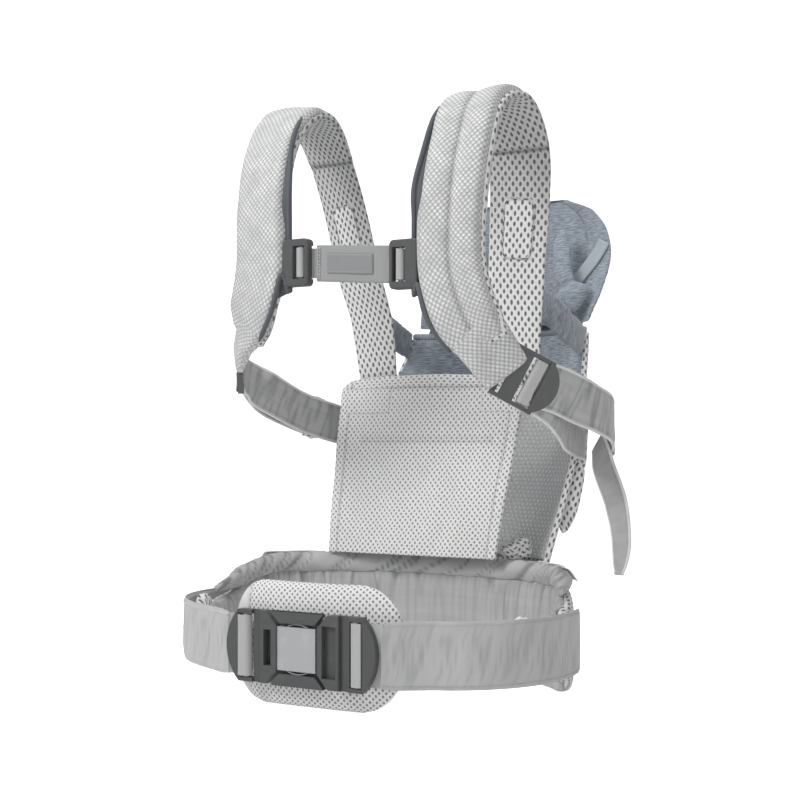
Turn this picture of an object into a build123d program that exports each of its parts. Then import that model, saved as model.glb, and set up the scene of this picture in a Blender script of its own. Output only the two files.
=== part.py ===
"""Soft baby carrier: waist belt, two panels, shoulder straps, chest strap and head support.

Millimetres, +Z up. The origin is the centre of the waist loop at the webbing's mid-height.
The wearer stands inside the loop: -Y is the wearer's back, where the buckle sits, and +Y is the baby side.
"""

from build123d import *
from math import copysign, cos, radians, sin
import os

# ---------------------------------------------------------------- clearances
GAP = 0.4              # air between soft pieces that lie face to face
RUN = 0.3              # clearance of a sliding or turning fit

# ---------------------------------------------------------------- waist belt
BAND_HALF_X = 176.0    # waist band: half width and half depth of its rounded-oval loop
BAND_HALF_Y = 121.0
OVAL_POWER = 2.3       # 2 is an ellipse, more is squarer
BAND_THICK = 3.0
WAIST_WEBBING = 48.0
BAND_TALL = WAIST_WEBBING + 4
BAND_LAP = 12.0        # degrees that the band reaches back over the padding
BAND_LEAVES = 55.0     # degrees below the loop's sides where the band runs straight to the buckle

BELT_THICK = 16.0      # padded belt, which lies inside the band
BELT_LOW = -48.0
BELT_HIGH = 40.0
BELT_SKIN = 1.8        # lining and mesh of the belt
BELT_TO_BAND = 3.0     # air between the belt's mesh and the band
BELT_WRAP = 14.0       # degrees that the padding reaches round past the loop's sides
ROLL_TALL = 15.0       # satin roll along the belt's top edge
ROLL_PROUD = 3.0

# ---------------------------------------------------------------- waist buckle
BUCKLE_X = 9.0         # the buckle's centre
BUCKLE_BACK_Y = -BAND_HALF_Y - 0.5   # its back plane; depths are measured outwards from here
BUCKLE_HALF = 70.0
FLAP_LONG = 12.0       # D-shaped flap at each end
WINDOW_LONG = 13.0     # window that the webbing turns in
CROSSBAR_LONG = 8.0
CHEEK_TALL = 3.4       # cheeks above and below the window
BUCKLE_HALF_TALL = WAIST_WEBBING / 2 + 1.1 + CHEEK_TALL
BUCKLE_BASE = 2.5      # thickness of the base plate
BUCKLE_DEEP = 8.0
TONGUE_THICK = 1.6
TONGUE_LONG = 32.0
TONGUE_HALF_TALL = 12.0
CENTRE_LEFT = -21.0    # the buckle's open middle, between the two end blocks
CENTRE_RIGHT = 17.0
CENTRE_HALF_TALL = 17.0
BUTTON_TRAVEL = 2.5
WEBBING_THICK = 1.5
WAIST_BAR = 2.5        # bar radii
SIDE_BAR = 2.2
CHEST_BAR = 2.4
PAD_LONG = 158.0       # pad behind the waist buckle
PAD_TALL = 100.0
PAD_CORNER = 38.0
PAD_FOAM = 8.0

# ---------------------------------------------------------------- shoulder straps
SIDES = {"R": 1, "L": -1}
STRAP_X = 94.0         # the padded straps' centre lines, out from the middle
STRAP_BACK_Y = -37.0
STRAP_FRONT_Y = BAND_HALF_Y - 21
CROWN_Z = {"R": 446.0, "L": 454.0}
STRAP_END_Z = {"R": 228.0, "L": 247.0}
STRAP_FOOT_Z = {"R": 192.0, "L": 212.0}
STRAP_FOOT_X = {"R": 75.0, "L": 66.0}
STRAP_WIDE = 55.0
FOOT_WIDE = 40.0
COVER_THICK = 3.0
LINING_THICK = 3.0
FOAM_THICK = 9.0
FOAM_THIN = 2.5        # foam where the strap becomes the light front strap

# ---------------------------------------------------------------- chest strap
CHEST_Z = {"R": 304.0, "L": 312.0}   # height of each slider
CHEST_Y = -42.0
CHEST_WEBBING = 25.0
OVERLAY_TALL = 31.0
OVERLAY_THICK = 1.8
LABEL_LONG = 44.0
LABEL_TALL = 17.0
LABEL_THICK = 1.0
SLIDER_IN = 40.0       # slider's inner and outer ends, out from the middle
SLIDER_OUT = 66.5
SLIDER_TALL = 40.0
SLIDER_DEEP = 9.0
SLIDER_UP = 45.0       # travel of the chest strap along its rails
SLIDER_DOWN = 8.0
RAIL_X = 61.5
RAIL_RADIUS = 2.2
FLANGE_THICK = 1.2     # web that sews the rail to the strap's edge

# ---------------------------------------------------------------- side straps and shoulder buckles
SIDE_WEBBING = 38.0
SIDE_THICK = 3.0
TAIL_THICK = 2.4
KEEPER_THICK = 1.5
BUCKLE_AT = {"R": (146, -4, 208), "L": (-146, 1, 230)}
BUCKLE_ALONG = {"R": (0.70, 0.54, -0.47), "L": (-0.52, 0.74, -0.42)}
BUCKLE_OUT = {"R": (0.6, -0.8, 0), "L": (-0.82, -0.57, 0)}
HINGE_X = -24.0        # rear rail of a shoulder buckle, along its own length
FRAME_HALF = 23.0

# ---------------------------------------------------------------- panels and head support
PANEL_TILT = 6.0       # inner panel, leaning towards the baby
PANEL_FOOT_Y = BAND_HALF_Y - 37
PANEL_LOW_Z = 56.5
PANEL_TALL = 166.0
PANEL_WIDE = 176.0
PANEL_THICK = 6.0
PANEL_SHIFT = -12.0
HEM_THICK = 1.6

FRONT_THICK = 4.0      # front panel's mesh
FRONT_LINING = 2.5
FRONT_TOP_Z = 264.0
HEAD_SHIFT = 17.0      # the head support leans over to the wearer's right
HEAD_LOW_Z = 274.0
HEAD_TOP_Z = 399.0
HEAD_THICK = 9.0
HEAD_SKIN = 2.0


def save(node, *solids):
    """Writes one node: a single solid, or a group of separate ones."""
    shape = solids[0] if len(solids) == 1 else Compound(children=list(solids))
    export_step(shape, f"parts/{node}.step")


# ---------------------------------------------------------------- shapes used again and again
def oval(half_x, half_y, angle):
    """A point of the waist loop's rounded oval, at an angle in degrees from +X."""
    c, s = cos(radians(angle)), sin(radians(angle))
    power = 2 / OVAL_POWER
    return Vector(half_x * copysign(abs(c) ** power, c), half_y * copysign(abs(s) ** power, s))


def loop_wall(inside, outside, low, high, start, stop, pieces=28):
    """A wall that follows the waist loop between two offsets in from the band's middle."""
    angles = [start + (stop - start) * i / pieces for i in range(pieces + 1)]
    outer = [oval(BAND_HALF_X - outside, BAND_HALF_Y - outside, a) for a in angles]
    inner = [oval(BAND_HALF_X - inside, BAND_HALF_Y - inside, a) for a in reversed(angles)]
    face = make_face(Polyline(*outer, *inner, close=True))
    return Pos(0, 0, low) * extrude(face, amount=high - low)


def skin(rings):
    """A closed solid through rings of points: flat triangles between neighbours and a flat face at each end.

    Both halves of the rings are split along the same diagonals, so that layers on one route stay parallel.
    """
    faces = [Face(Wire.make_polygon(rings[0])), Face(Wire.make_polygon(rings[-1]))]
    for low, high in zip(rings, rings[1:]):
        count = len(low)
        for i in range(count):
            j = (i + 1) % count
            a, b, c, d = (low[i], low[j], high[j], high[i]) if 2 * i < count else (low[j], high[j], high[i],
                low[i])
            faces.append(Face(Wire.make_polygon([a, b, c])))
            faces.append(Face(Wire.make_polygon([a, c, d])))
    return Solid(Shell(faces))


def band(stations, low, high):
    """A flat strap through stations of (point, width, across), from low to high off its middle surface.

    low and high are single values, or lists with one value for each station.
    """
    count = len(stations)
    low = low if isinstance(low, list) else [low] * count
    high = high if isinstance(high, list) else [high] * count
    rings = []
    for i, (point, width, across) in enumerate(stations):
        ahead = Vector(*stations[min(i + 1, count - 1)][0])
        behind = Vector(*stations[max(i - 1, 0)][0])
        along = (ahead - behind).normalized()
        across = Vector(*across)
        across = (across - along * across.dot(along)).normalized()
        out = across.cross(along)
        corners = [(-1, low[i]), (1, low[i]), (1, high[i]), (-1, high[i])]
        rings.append([Vector(*point) + across * (side * width / 2) + out * off for side, off in corners])
    return skin(rings)


def wrap(levels, near, far, skip=0, pieces=20):
    """A panel that curves round the baby, through levels of (z, half width, middle y, side y, middle x).

    near and far are its two faces, measured along +Y from the middle surface, and skip leaves that many
    pieces
    off each side.
    """
    rings = []
    for z, half, middle_y, side_y, middle_x in levels:
        steps = [2 * i / pieces - 1 for i in range(skip, pieces + 1 - skip)]
        line = [Vector(middle_x + half * s, side_y + (middle_y - side_y) * (1 - s * s), z) for s in steps]
        outer = [p + Vector(0, far, 0) for p in line]
        inner = [p + Vector(0, near, 0) for p in reversed(line)]
        rings.append([*outer, *inner])
    return skin(rings)


def block(x, y, z):
    """A box from its two ends along each axis, in either order."""
    spans = [sorted(span) for span in (x, y, z)]
    return Pos(*[(a + b) / 2 for a, b in spans]) * Box(*[b - a for a, b in spans])


def round_bar(radius, length):
    """An upright round bar with broken ends."""
    bar = Cylinder(radius, length)
    return chamfer(bar.edges().filter_by(GeomType.CIRCLE), radius * 0.25)


def webbing_ring(bar_radius, tall):
    """The whole turn of webbing round an upright bar at the origin."""
    inner = bar_radius + RUN
    return Cylinder(inner + WEBBING_THICK, tall) - Cylinder(inner, tall)


def webbing_turn(bar_radius, tall, reach, side):
    """Webbing that turns round an upright bar at the origin and leaves as two plies towards side in X."""
    inner = bar_radius + RUN
    outer = inner + WEBBING_THICK
    turn = webbing_ring(bar_radius, tall)
    turn -= block((0, side * 2 * outer), (-2 * outer, 2 * outer), (-tall, tall))
    for low, high in ((inner, outer), (-outer, -inner)):
        turn += block((0, side * reach), (low, high), (-tall / 2, tall / 2))
    return turn


def slab(outline, back, front):
    """A flat piece of the waist buckle, from its outline in X and Z, between two depths out from the back
    plane."""
    piece = extrude(Plane.XZ * outline, amount=front - back)
    return Pos(BUCKLE_X, BUCKLE_BACK_Y - back, 0) * piece


def sized(x, z):
    """A rectangle in the buckle's face, from its two ends along X and Z."""
    return Pos((x[0] + x[1]) / 2, (z[0] + z[1]) / 2) * Rectangle(abs(x[1] - x[0]), abs(z[1] - z[0]))


def d_shape(flat_x, tip_x, half_tall):
    """A flap with a straight inner edge and a bowed outer edge."""
    bow = ThreePointArc((flat_x, half_tall), (tip_x, 0), (flat_x, -half_tall))
    return make_face([bow, Line((flat_x, -half_tall), (flat_x, half_tall))])


# ---------------------------------------------------------------- waist belt
MESH_OUT = BAND_THICK / 2 + BELT_TO_BAND
LINING_IN = MESH_OUT + BELT_THICK


def padded_belt():
    """Padded belt on the baby side, as lining, foam and mesh, with the satin roll along its top edge."""
    mesh_in = MESH_OUT + BELT_SKIN
    lining_out = LINING_IN - BELT_SKIN
    ends = (-BELT_WRAP, 180 + BELT_WRAP)
    save("belt_mesh_cover", loop_wall(mesh_in, MESH_OUT, BELT_LOW, BELT_HIGH, *ends))
    save("belt_foam", loop_wall(lining_out - GAP, mesh_in + GAP, BELT_LOW + 2, BELT_HIGH - 2, *ends))
    save("belt_lining", loop_wall(LINING_IN, lining_out, BELT_LOW, BELT_HIGH, *ends))
    roll_low = BELT_HIGH + GAP
    save("belt_top_roll", loop_wall(
        LINING_IN + ROLL_PROUD, MESH_OUT + GAP, roll_low, roll_low + ROLL_TALL, ends[0] + 24, ends[1] - 6))
    tips = []
    for sign in SIDES.values():
        inner_end = ends[0] if sign > 0 else ends[1]
        angles = sorted((inner_end - sign * 0.5, inner_end - sign * 8))
        tips.append(loop_wall(LINING_IN, MESH_OUT, BELT_LOW + 8, BELT_HIGH - 6, *angles, 4))
    save("belt_end_mesh", *tips)


def waist_bands():
    """Satin bands over the webbing, from the padded belt's ends round to the buckle."""
    for side, sign in SIDES.items():
        route = []
        for i in range(10):
            below = -BAND_LAP + (BAND_LEAVES + BAND_LAP) * i / 9
            spot = oval(BAND_HALF_X, BAND_HALF_Y, -below if sign > 0 else 180 + below)
            route.append(((spot.X, spot.Y, 0), BAND_TALL, (0, 0, 1)))
        end_x = BUCKLE_X + sign * (BUCKLE_HALF + 5)
        route.append(((end_x, BUCKLE_BACK_Y - 1.5, 0), BAND_TALL, (0, 0, 1)))
        save(f"waist_band_{side}", band(route, -BAND_THICK / 2, BAND_THICK / 2))


def buckle_pad():
    """Rounded pad between the wearer and the waist buckle, with a plain strip along its left end."""
    outline = Plane.XZ * RectangleRounded(PAD_LONG, PAD_TALL, PAD_CORNER)
    prism = Pos(BUCKLE_X + 1, 0, 2) * extrude(outline, amount=2 * BAND_HALF_Y)
    span = (-90 - 45, -90 + 45)
    face_out = BAND_THICK / 2 + 1.5
    face_in = face_out + BELT_SKIN
    foam_in = face_in + PAD_FOAM
    strip_end = BUCKLE_X + 1 - PAD_LONG / 2 + 18

    def layer(inside, outside):
        return loop_wall(inside, outside, -PAD_TALL, PAD_TALL, *span) & prism

    face = layer(face_in, face_out)
    strip = block((-PAD_LONG, strip_end), (-2 * BAND_HALF_Y, 0), (-PAD_TALL, PAD_TALL))
    save("buckle_pad_mesh", face - Pos(GAP, 0, 0) * strip)
    save("buckle_pad_side_strip", face & strip)
    save("buckle_pad_foam", layer(foam_in, face_in + GAP))


# ---------------------------------------------------------------- waist buckle
def buckle_end(side):
    """One half's flap, cheeks and crossbar, round the window that the webbing turns in."""
    tip = side * BUCKLE_HALF
    flat = tip - side * FLAP_LONG
    window = flat - side * WINDOW_LONG
    crossbar = window - side * CROSSBAR_LONG
    cheek_low = BUCKLE_HALF_TALL - CHEEK_TALL
    flap = slab(d_shape(flat, tip, BUCKLE_HALF_TALL), 2.0, BUCKLE_DEEP)
    front = flap.faces().sort_by(Axis.Y)[0]
    end = chamfer(front.edges(), 0.8)
    for sign in (1, -1):
        cheek = sized((flat, window), (sign * cheek_low, sign * BUCKLE_HALF_TALL))
        end += slab(cheek, 0, BUCKLE_DEEP - 1)
        end += slab(sized((flat, flat + side * 3), (sign * cheek_low, sign * (cheek_low - 4))), 2.0,
            BUCKLE_DEEP)
    end += slab(sized((window, crossbar), (-BUCKLE_HALF_TALL, BUCKLE_HALF_TALL)), 0, 4.5)
    return end


def end_block(side, inner_x, outer_x):
    """The bevelled block beside the buckle's middle, short on its inner edge and tall on its outer one."""
    tall, short = BUCKLE_HALF_TALL, CENTRE_HALF_TALL + 1
    outline = make_face(Polyline(
        (outer_x, tall), (inner_x - side * -10, tall), (inner_x, short),
        (inner_x, -short), (inner_x - side * -10, -tall), (outer_x, -tall), close=True))
    body = slab(outline, 0, BUCKLE_DEEP)
    return chamfer(body.faces().sort_by(Axis.Y)[0].edges(), 0.7)


def waist_buckle():
    """Socket half, tongue half, blank middle plate, bars, webbing turns, two release buttons and their
    springs."""
    bar_depth = 4.5
    window_mid = BUCKLE_HALF - FLAP_LONG - WINDOW_LONG / 2
    block_left = -(BUCKLE_HALF - FLAP_LONG - WINDOW_LONG - CROSSBAR_LONG)
    tongue_low = BUCKLE_BASE + RUN
    tongue_high = tongue_low + TONGUE_THICK

    socket = buckle_end(-1) + end_block(-1, CENTRE_LEFT, block_left)
    socket += slab(sized((CENTRE_LEFT, CENTRE_RIGHT - 1), (-BUCKLE_HALF_TALL, BUCKLE_HALF_TALL)), 0,
        BUCKLE_BASE)
    socket -= slab(sized((CENTRE_LEFT - 12, CENTRE_LEFT - 5), (-14, 14)), 2.0, BUCKLE_DEEP)
    tongue_room = (-TONGUE_HALF_TALL - RUN, TONGUE_HALF_TALL + RUN)
    socket -= slab(sized((CENTRE_RIGHT - TONGUE_LONG - 1, CENTRE_RIGHT), tongue_room), tongue_low - RUN,
        tongue_high + RUN)
    save("waist_buckle_socket", socket)

    plate_back = tongue_high + RUN
    plate = slab(sized((CENTRE_LEFT + 0.2, CENTRE_RIGHT - 2), (-CENTRE_HALF_TALL, CENTRE_HALF_TALL)),
        plate_back, plate_back + 1.8)
    for sign in (1, -1):
        foot = (sign * (TONGUE_HALF_TALL + 1), sign * CENTRE_HALF_TALL)
        plate += slab(sized((CENTRE_LEFT + 0.2, CENTRE_RIGHT - 2), foot), BUCKLE_BASE, plate_back)
    save("waist_buckle_middle_plate", plate)

    block_right = BUCKLE_HALF - FLAP_LONG - WINDOW_LONG - CROSSBAR_LONG
    tongue = buckle_end(1) + end_block(1, CENTRE_RIGHT, block_right)
    hollow = slab(sized((CENTRE_RIGHT + 5, block_right - 2.5), (-20, 20)), 3.5, BUCKLE_DEEP)
    tongue -= hollow
    tongue += slab(sized((CENTRE_RIGHT - TONGUE_LONG, CENTRE_RIGHT), (-TONGUE_HALF_TALL, TONGUE_HALF_TALL)),
        tongue_low, tongue_high)
    save("waist_buckle_tongue", tongue)

    for side, sign in SIDES.items():
        at = Pos(BUCKLE_X + sign * window_mid, BUCKLE_BACK_Y - bar_depth, 0)
        bar_long = 2 * (BUCKLE_HALF_TALL - CHEEK_TALL)
        save(f"waist_buckle_bar_{side}", at * round_bar(WAIST_BAR, bar_long))
        turn = webbing_turn(WAIST_BAR, WAIST_WEBBING, WINDOW_LONG / 2 - 0.5, sign)
        lead_in = (sign * (WINDOW_LONG / 2 - 0.5), sign * (BUCKLE_HALF + 3 - window_mid))
        turn += block(lead_in, (WAIST_BAR + RUN, WAIST_BAR + RUN + WEBBING_THICK),
            (-WAIST_WEBBING / 2, WAIST_WEBBING / 2))
        save(f"waist_webbing_{side}", at * turn)

    release_buttons()


def release_buttons():
    """Ribbed buttons above and below the buckle's middle, each on a bowed leaf spring."""
    rest = CENTRE_HALF_TALL + BUTTON_TRAVEL + RUN
    top = BUCKLE_HALF_TALL
    slant = 2.4
    low_left, low_right = CENTRE_LEFT + slant, CENTRE_RIGHT - slant
    spread = 10 * (top - rest) / (top - CENTRE_HALF_TALL - 1)
    for name, sign in (("top", 1), ("bottom", -1)):
        outline = make_face(Polyline(
            (low_left, sign * rest), (low_right, sign * rest),
            (low_right + spread, sign * top), (low_left - spread, sign * top), close=True))
        button = slab(outline, BUCKLE_BASE + RUN, BUCKLE_DEEP - 0.4)
        ribs = 17
        step = (low_right - low_left + 2 * spread - 4) / (ribs - 1)
        for i in range(ribs):
            x = low_left - spread + 2 + i * step
            button += slab(sized((x - 0.5, x + 0.5), (sign * (top - 0.2), sign * (top + 0.8))),
                BUCKLE_BASE + 1, BUCKLE_DEEP - 1)
        save(f"waist_button_{name}", button)
        middle = (low_left + low_right) / 2
        low, high = CENTRE_HALF_TALL + 0.2, rest - 0.2
        bow = ThreePointArc((middle - 9, sign * low), (middle, sign * (high - 0.5)), (middle + 9, sign * low))
        bow_up = ThreePointArc((middle + 9, sign * (low + 0.5)), (middle, sign * high),
            (middle - 9, sign * (low + 0.5)))
        spring = make_face([bow, Line(bow @ 1, bow_up @ 0), bow_up, Line(bow_up @ 1, bow @ 0)])
        save(f"waist_button_spring_{name}", slab(spring, BUCKLE_BASE + 1, BUCKLE_BASE + 4))


# ---------------------------------------------------------------- shoulder straps
def strap_route(side):
    """Stations of a shoulder strap from its lower end at the back, over the shoulder, to the inner panel.

    Each row is x, y, z, width, and how the strap's outer edge is turned: towards the baby, and up.
    """
    s = SIDES[side]
    crown, end, foot = CROWN_Z[side], STRAP_END_Z[side], STRAP_FOOT_Z[side]
    foot_x = STRAP_FOOT_X[side]
    chest = CHEST_Z[side]
    x, back, front = STRAP_X, STRAP_BACK_Y, STRAP_FRONT_Y
    rise = crown - chest
    wide, foot_wide = STRAP_WIDE, FOOT_WIDE
    rows = [
        (x + 24, back + 10, end + 8, wide - 5, (0.3, 0.45)),
        (x + 10, back + 1, (end + chest) / 2, wide - 2, (0.2, 0.3)),
        (x + 1, back - 1, chest, wide - 1, (0.12, 0.06)),
        (x + 1, back + 2, chest + 0.38 * rise, wide, (0.12, 0.02)),
        (x + 2, back + 14, chest + 0.70 * rise, wide, (0.1, 0.05)),
        (x, back + 34, chest + 0.92 * rise, wide + 2, (0.1, 0.08)),
        (x + 1, back + 62, crown, wide + 2, (0.1, 0.1)),
        (x + 3, back + 90, chest + 0.95 * rise, wide + 1, (0.15, 0.1)),
        (x + 3, front - 24, chest + 0.75 * rise, wide, (0.2, 0.08)),
        (x - 3, front - 10, chest + 0.44 * rise, wide - 1, (0.2, 0.03)),
        (0.55 * x + 0.45 * foot_x - 1, front - 3, chest + 0.04 * rise, wide - 3, (0.15, 0)),
        (0.2 * x + 0.8 * foot_x, front + 6, foot + 60, wide - 7, (0.1, 0)),
        (foot_x, front + 10, foot, foot_wide, (0, 0)),
    ]
    return [((s * px, py, pz), w, (1, s * toe, s * roll)) for px, py, pz, w, (toe, roll) in rows]


def shoulder_straps():
    """Padded straps as knit cover, foam and mesh lining, with the stitched patch on the light front run."""
    thin_from = 8
    cores, patches = [], []
    for side in SIDES:
        route = strap_route(side)
        foam = [FOAM_THICK] * 5 + [8, 7, 5.5, 4] + [FOAM_THIN] * 4
        total = [COVER_THICK + LINING_THICK + f + 2 * GAP for f in foam]
        inner = [-t / 2 for t in total]
        lining_top = [v + LINING_THICK for v in inner]
        foam_low = [v + GAP for v in lining_top]
        foam_top = [v + f for v, f in zip(foam_low, foam)]
        cover_low = [v + GAP for v in foam_top]
        cover_top = [v + COVER_THICK for v in cover_low]
        save(f"shoulder_lining_{side}", band(route, inner, lining_top))
        cores.append(band(route, foam_low, foam_top))
        save(f"shoulder_cover_{side}", band(route, cover_low, cover_top))
        patch_route = narrower(route[thin_from:thin_from + 3], 26)
        patch_low = [v - 4 * GAP for v in inner[thin_from:thin_from + 3]]
        patches.append(band(patch_route, [v - 1.4 for v in patch_low], patch_low))
    save("shoulder_foam", *cores)
    save("strap_patches", *patches)


def narrower(route, by):
    """The same stations with less width."""
    return [(point, width - by, across) for point, width, across in route]


def strap_rails():
    """Piped rails along the straps' inner edges, straight over the chest strap's travel."""
    rails = []
    for side, s in SIDES.items():
        low = CHEST_Z[side] - SLIDER_TALL / 2 - SLIDER_DOWN - 2
        high = CHEST_Z[side] + SLIDER_TALL / 2 + SLIDER_UP + 2
        rail = Pos(s * RAIL_X, CHEST_Y, (low + high) / 2) * round_bar(RAIL_RADIUS, high - low)
        flange_end = s * (SLIDER_OUT + 0.6)
        rail += block((s * (RAIL_X + 1), flange_end),
            (CHEST_Y - FLANGE_THICK / 2, CHEST_Y + FLANGE_THICK / 2), (low, high))
        rails.append(rail)
    save("strap_rails", *rails)


# ---------------------------------------------------------------- chest strap
def chest_strap():
    """Two sliders on the rails, joined by webbing with a wide overlay and a blank label."""
    window_out = RAIL_X - RAIL_RADIUS - 4.0
    bar_x = (SLIDER_IN + 3 + window_out) / 2
    bars = []
    for side, s in SIDES.items():
        z = CHEST_Z[side]
        middle = s * (SLIDER_IN + SLIDER_OUT) / 2
        face = RectangleRounded(SLIDER_OUT - SLIDER_IN, SLIDER_TALL, 4)
        body = Pos(middle, CHEST_Y + SLIDER_DEEP / 2, z) * extrude(Plane.XZ * face, amount=SLIDER_DEEP)
        body = chamfer(body.faces().sort_by(Axis.Y)[0].edges(), 1.0)
        body -= block((s * (SLIDER_IN + 3), s * window_out), (CHEST_Y - 20, CHEST_Y + 20), (z - 14, z + 14))
        channel = Pos(s * RAIL_X, CHEST_Y, z) * Cylinder(RAIL_RADIUS + RUN, SLIDER_TALL + 2)
        slit = FLANGE_THICK / 2 + RUN
        body -= channel
        ply_low = CHEST_Y + CHEST_BAR + RUN - GAP
        ply_room = (z - CHEST_WEBBING / 2 - 1.5, z + CHEST_WEBBING / 2 + 1.5)
        body -= block((s * (SLIDER_IN - 1), s * (SLIDER_IN + 4)), (ply_low, CHEST_Y + SLIDER_DEEP), ply_room)
        body -= block((s * RAIL_X, s * (SLIDER_OUT + 1)), (CHEST_Y - slit, CHEST_Y + slit),
            (z - SLIDER_TALL, z + SLIDER_TALL))
        save(f"chest_slider_{side}", body)
        bars.append(Pos(s * bar_x, CHEST_Y, z) * round_bar(CHEST_BAR, 28))
    save("chest_bars", *bars)

    ply = CHEST_BAR + RUN + WEBBING_THICK / 2
    run = [((s * bar_x, CHEST_Y + ply, CHEST_Z[side]), CHEST_WEBBING, (0, 0, 1)) for side, s in SIDES.items()]
    webbing = band(run, -WEBBING_THICK / 2, WEBBING_THICK / 2)
    for side, s in SIDES.items():
        webbing += Pos(s * bar_x, CHEST_Y, CHEST_Z[side]) * webbing_ring(CHEST_BAR, CHEST_WEBBING)
    save("chest_webbing", webbing)

    def height_at(x):
        share = (x + bar_x) / (2 * bar_x)
        return CHEST_Z["L"] + (CHEST_Z["R"] - CHEST_Z["L"]) * share

    overlay_y = CHEST_Y + ply - WEBBING_THICK / 2 - GAP - OVERLAY_THICK / 2
    run = [((x, overlay_y, height_at(x)), OVERLAY_TALL, (0, 0, 1)) for x in (-33, SLIDER_IN - 2)]
    save("chest_overlay", band(run, -OVERLAY_THICK / 2, OVERLAY_THICK / 2))
    label_y = overlay_y - OVERLAY_THICK / 2 - GAP - LABEL_THICK / 2
    run = [((x, label_y, height_at(x)), LABEL_TALL, (0, 0, 1)) for x in (-LABEL_LONG / 2, LABEL_LONG / 2)]
    save("chest_label", band(run, -LABEL_THICK / 2, LABEL_THICK / 2))


# ---------------------------------------------------------------- shoulder buckles and side straps
def buckle_frame_at(side):
    """Placing of a shoulder buckle: X along the webbing, Y along its bars, Z outwards from the wearer."""
    return Plane(BUCKLE_AT[side], x_dir=BUCKLE_ALONG[side], z_dir=square_out(side)).location


def square_out(side):
    """The buckle's outward direction, squared up to the webbing."""
    along = Vector(*BUCKLE_ALONG[side]).normalized()
    out = Vector(*BUCKLE_OUT[side])
    return (out - along * out.dot(along)).normalized()


def shoulder_buckles():
    """Ladder buckles: the rear rail turns in the strap's end tab, and lifting the flap lets the webbing
    run."""
    lie = Rot(90, 0, 0)
    tabs = []
    for side in SIDES:
        at = buckle_frame_at(side)
        half = FRAME_HALF
        frame = Pos(HINGE_X, 0, 0) * lie * Cylinder(SIDE_BAR, 2 * half)
        for s in (1, -1):
            frame += block((HINGE_X, 12), (s * (half - 3), s * half), (-2.5, 3))
        frame += block((HINGE_X + 5, -6.5), (-half, half), (-1, 2.4))
        flap = make_face([
            ThreePointArc((8, half), (23, 0), (8, -half)),
            Line((8, -half), (8, half)),
        ])
        frame += Pos(0, 0, 1.5) * extrude(flap, amount=3)
        save(f"shoulder_buckle_{side}", at * frame)
        bar = lie * round_bar(SIDE_BAR, 2 * (half - 3))
        save(f"shoulder_buckle_bar_{side}", at * Pos(0.5, 0, 0) * bar)
        turn = lie * webbing_turn(SIDE_BAR, SIDE_WEBBING, 5.5, 1)
        save(f"shoulder_webbing_{side}", at * Pos(0.5, 0, 0) * turn)
        tab = lie * webbing_turn(SIDE_BAR, SIDE_WEBBING, 15, -1)
        tabs.append(at * Pos(HINGE_X, 0, 0) * tab)
    save("strap_end_tabs", *tabs)


UP = (0, 0, 1)
B = BAND_HALF_Y        # the routes' front ends keep their distance from the waist band's front
LOAD_ROUTE = {
    "R": [
        ((129, B + 24, 161), 34, UP), ((139, B - 21, 166), 36, UP), ((147, B - 61, 174), 37, UP),
        ((158, 30, 188), 38, (0.2, 0.1, 1)),
    ],
    "L": [
        ((-110, B + 21, 172), 34, UP), ((-123, B - 6, 179), 36, UP), ((-137, B - 36, 189), 36, UP),
        ((-146, 50, 204), 37, UP), ((-156, 34, 214), 38, (-0.2, 0.1, 1)),
    ],
}
RETURN_ROUTE = {
    "R": [
        ((166, 34, 196), 38, (0.2, 0.1, 1)), ((174, 62, 188), 38, UP), ((175, B - 29, 181), 38, UP),
        ((167, B - 4, 173), 38, UP), ((153, B + 14, 165), 38, UP),
    ],
    "L": [
        ((-163, 38, 213), 38, (-0.2, 0.1, 1)), ((-158, 62, 202), 38, UP), ((-151, B - 31, 192), 38, UP),
        ((-138, B - 2, 181), 36, UP),
    ],
}
TAIL_ROUTE = [
    ((166, B + 9, 159), 30, (0.2, -0.5, 0.8)), ((178, B - 3, 138), 30, (0.3, -0.8, 0.5)),
    ((187, B - 13, 108), 30, (0.3, -1, 0.2)), ((187, B - 17, 76), 30, (0.2, -1, 0)),
    ((181, B - 19, 47), 30, (0.2, -1, 0)),
]


def side_straps():
    """Load straps from the front panel's wings to the buckles, and the return straps that adjust them."""
    for side in SIDES:
        save(f"side_strap_{side}", band(LOAD_ROUTE[side], -SIDE_THICK / 2, SIDE_THICK / 2))
        save(f"return_strap_{side}", band(RETURN_ROUTE[side], -SIDE_THICK / 2, SIDE_THICK / 2))
    save("strap_tail_R", band(TAIL_ROUTE, -TAIL_THICK / 2, TAIL_THICK / 2))


def keepers():
    """Sewn loops round the return straps, beside the panel's wings."""
    rings = []
    for side in SIDES:
        (near, *_), (far, wide, across) = RETURN_ROUTE[side][-2:]
        along = (Vector(*far) - Vector(*near)).normalized()
        place = Plane(Vector(*near) * 0.3 + Vector(*far) * 0.7, x_dir=along,
            z_dir=Vector(*across).cross(along))
        room = (wide + 2, SIDE_THICK + 2)
        ring = Box(10, room[0] + 2 * KEEPER_THICK, room[1] + 2 * KEEPER_THICK) - Box(12, *room)
        rings.append(place.location * ring)
    save("strap_keepers", *rings)


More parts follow.
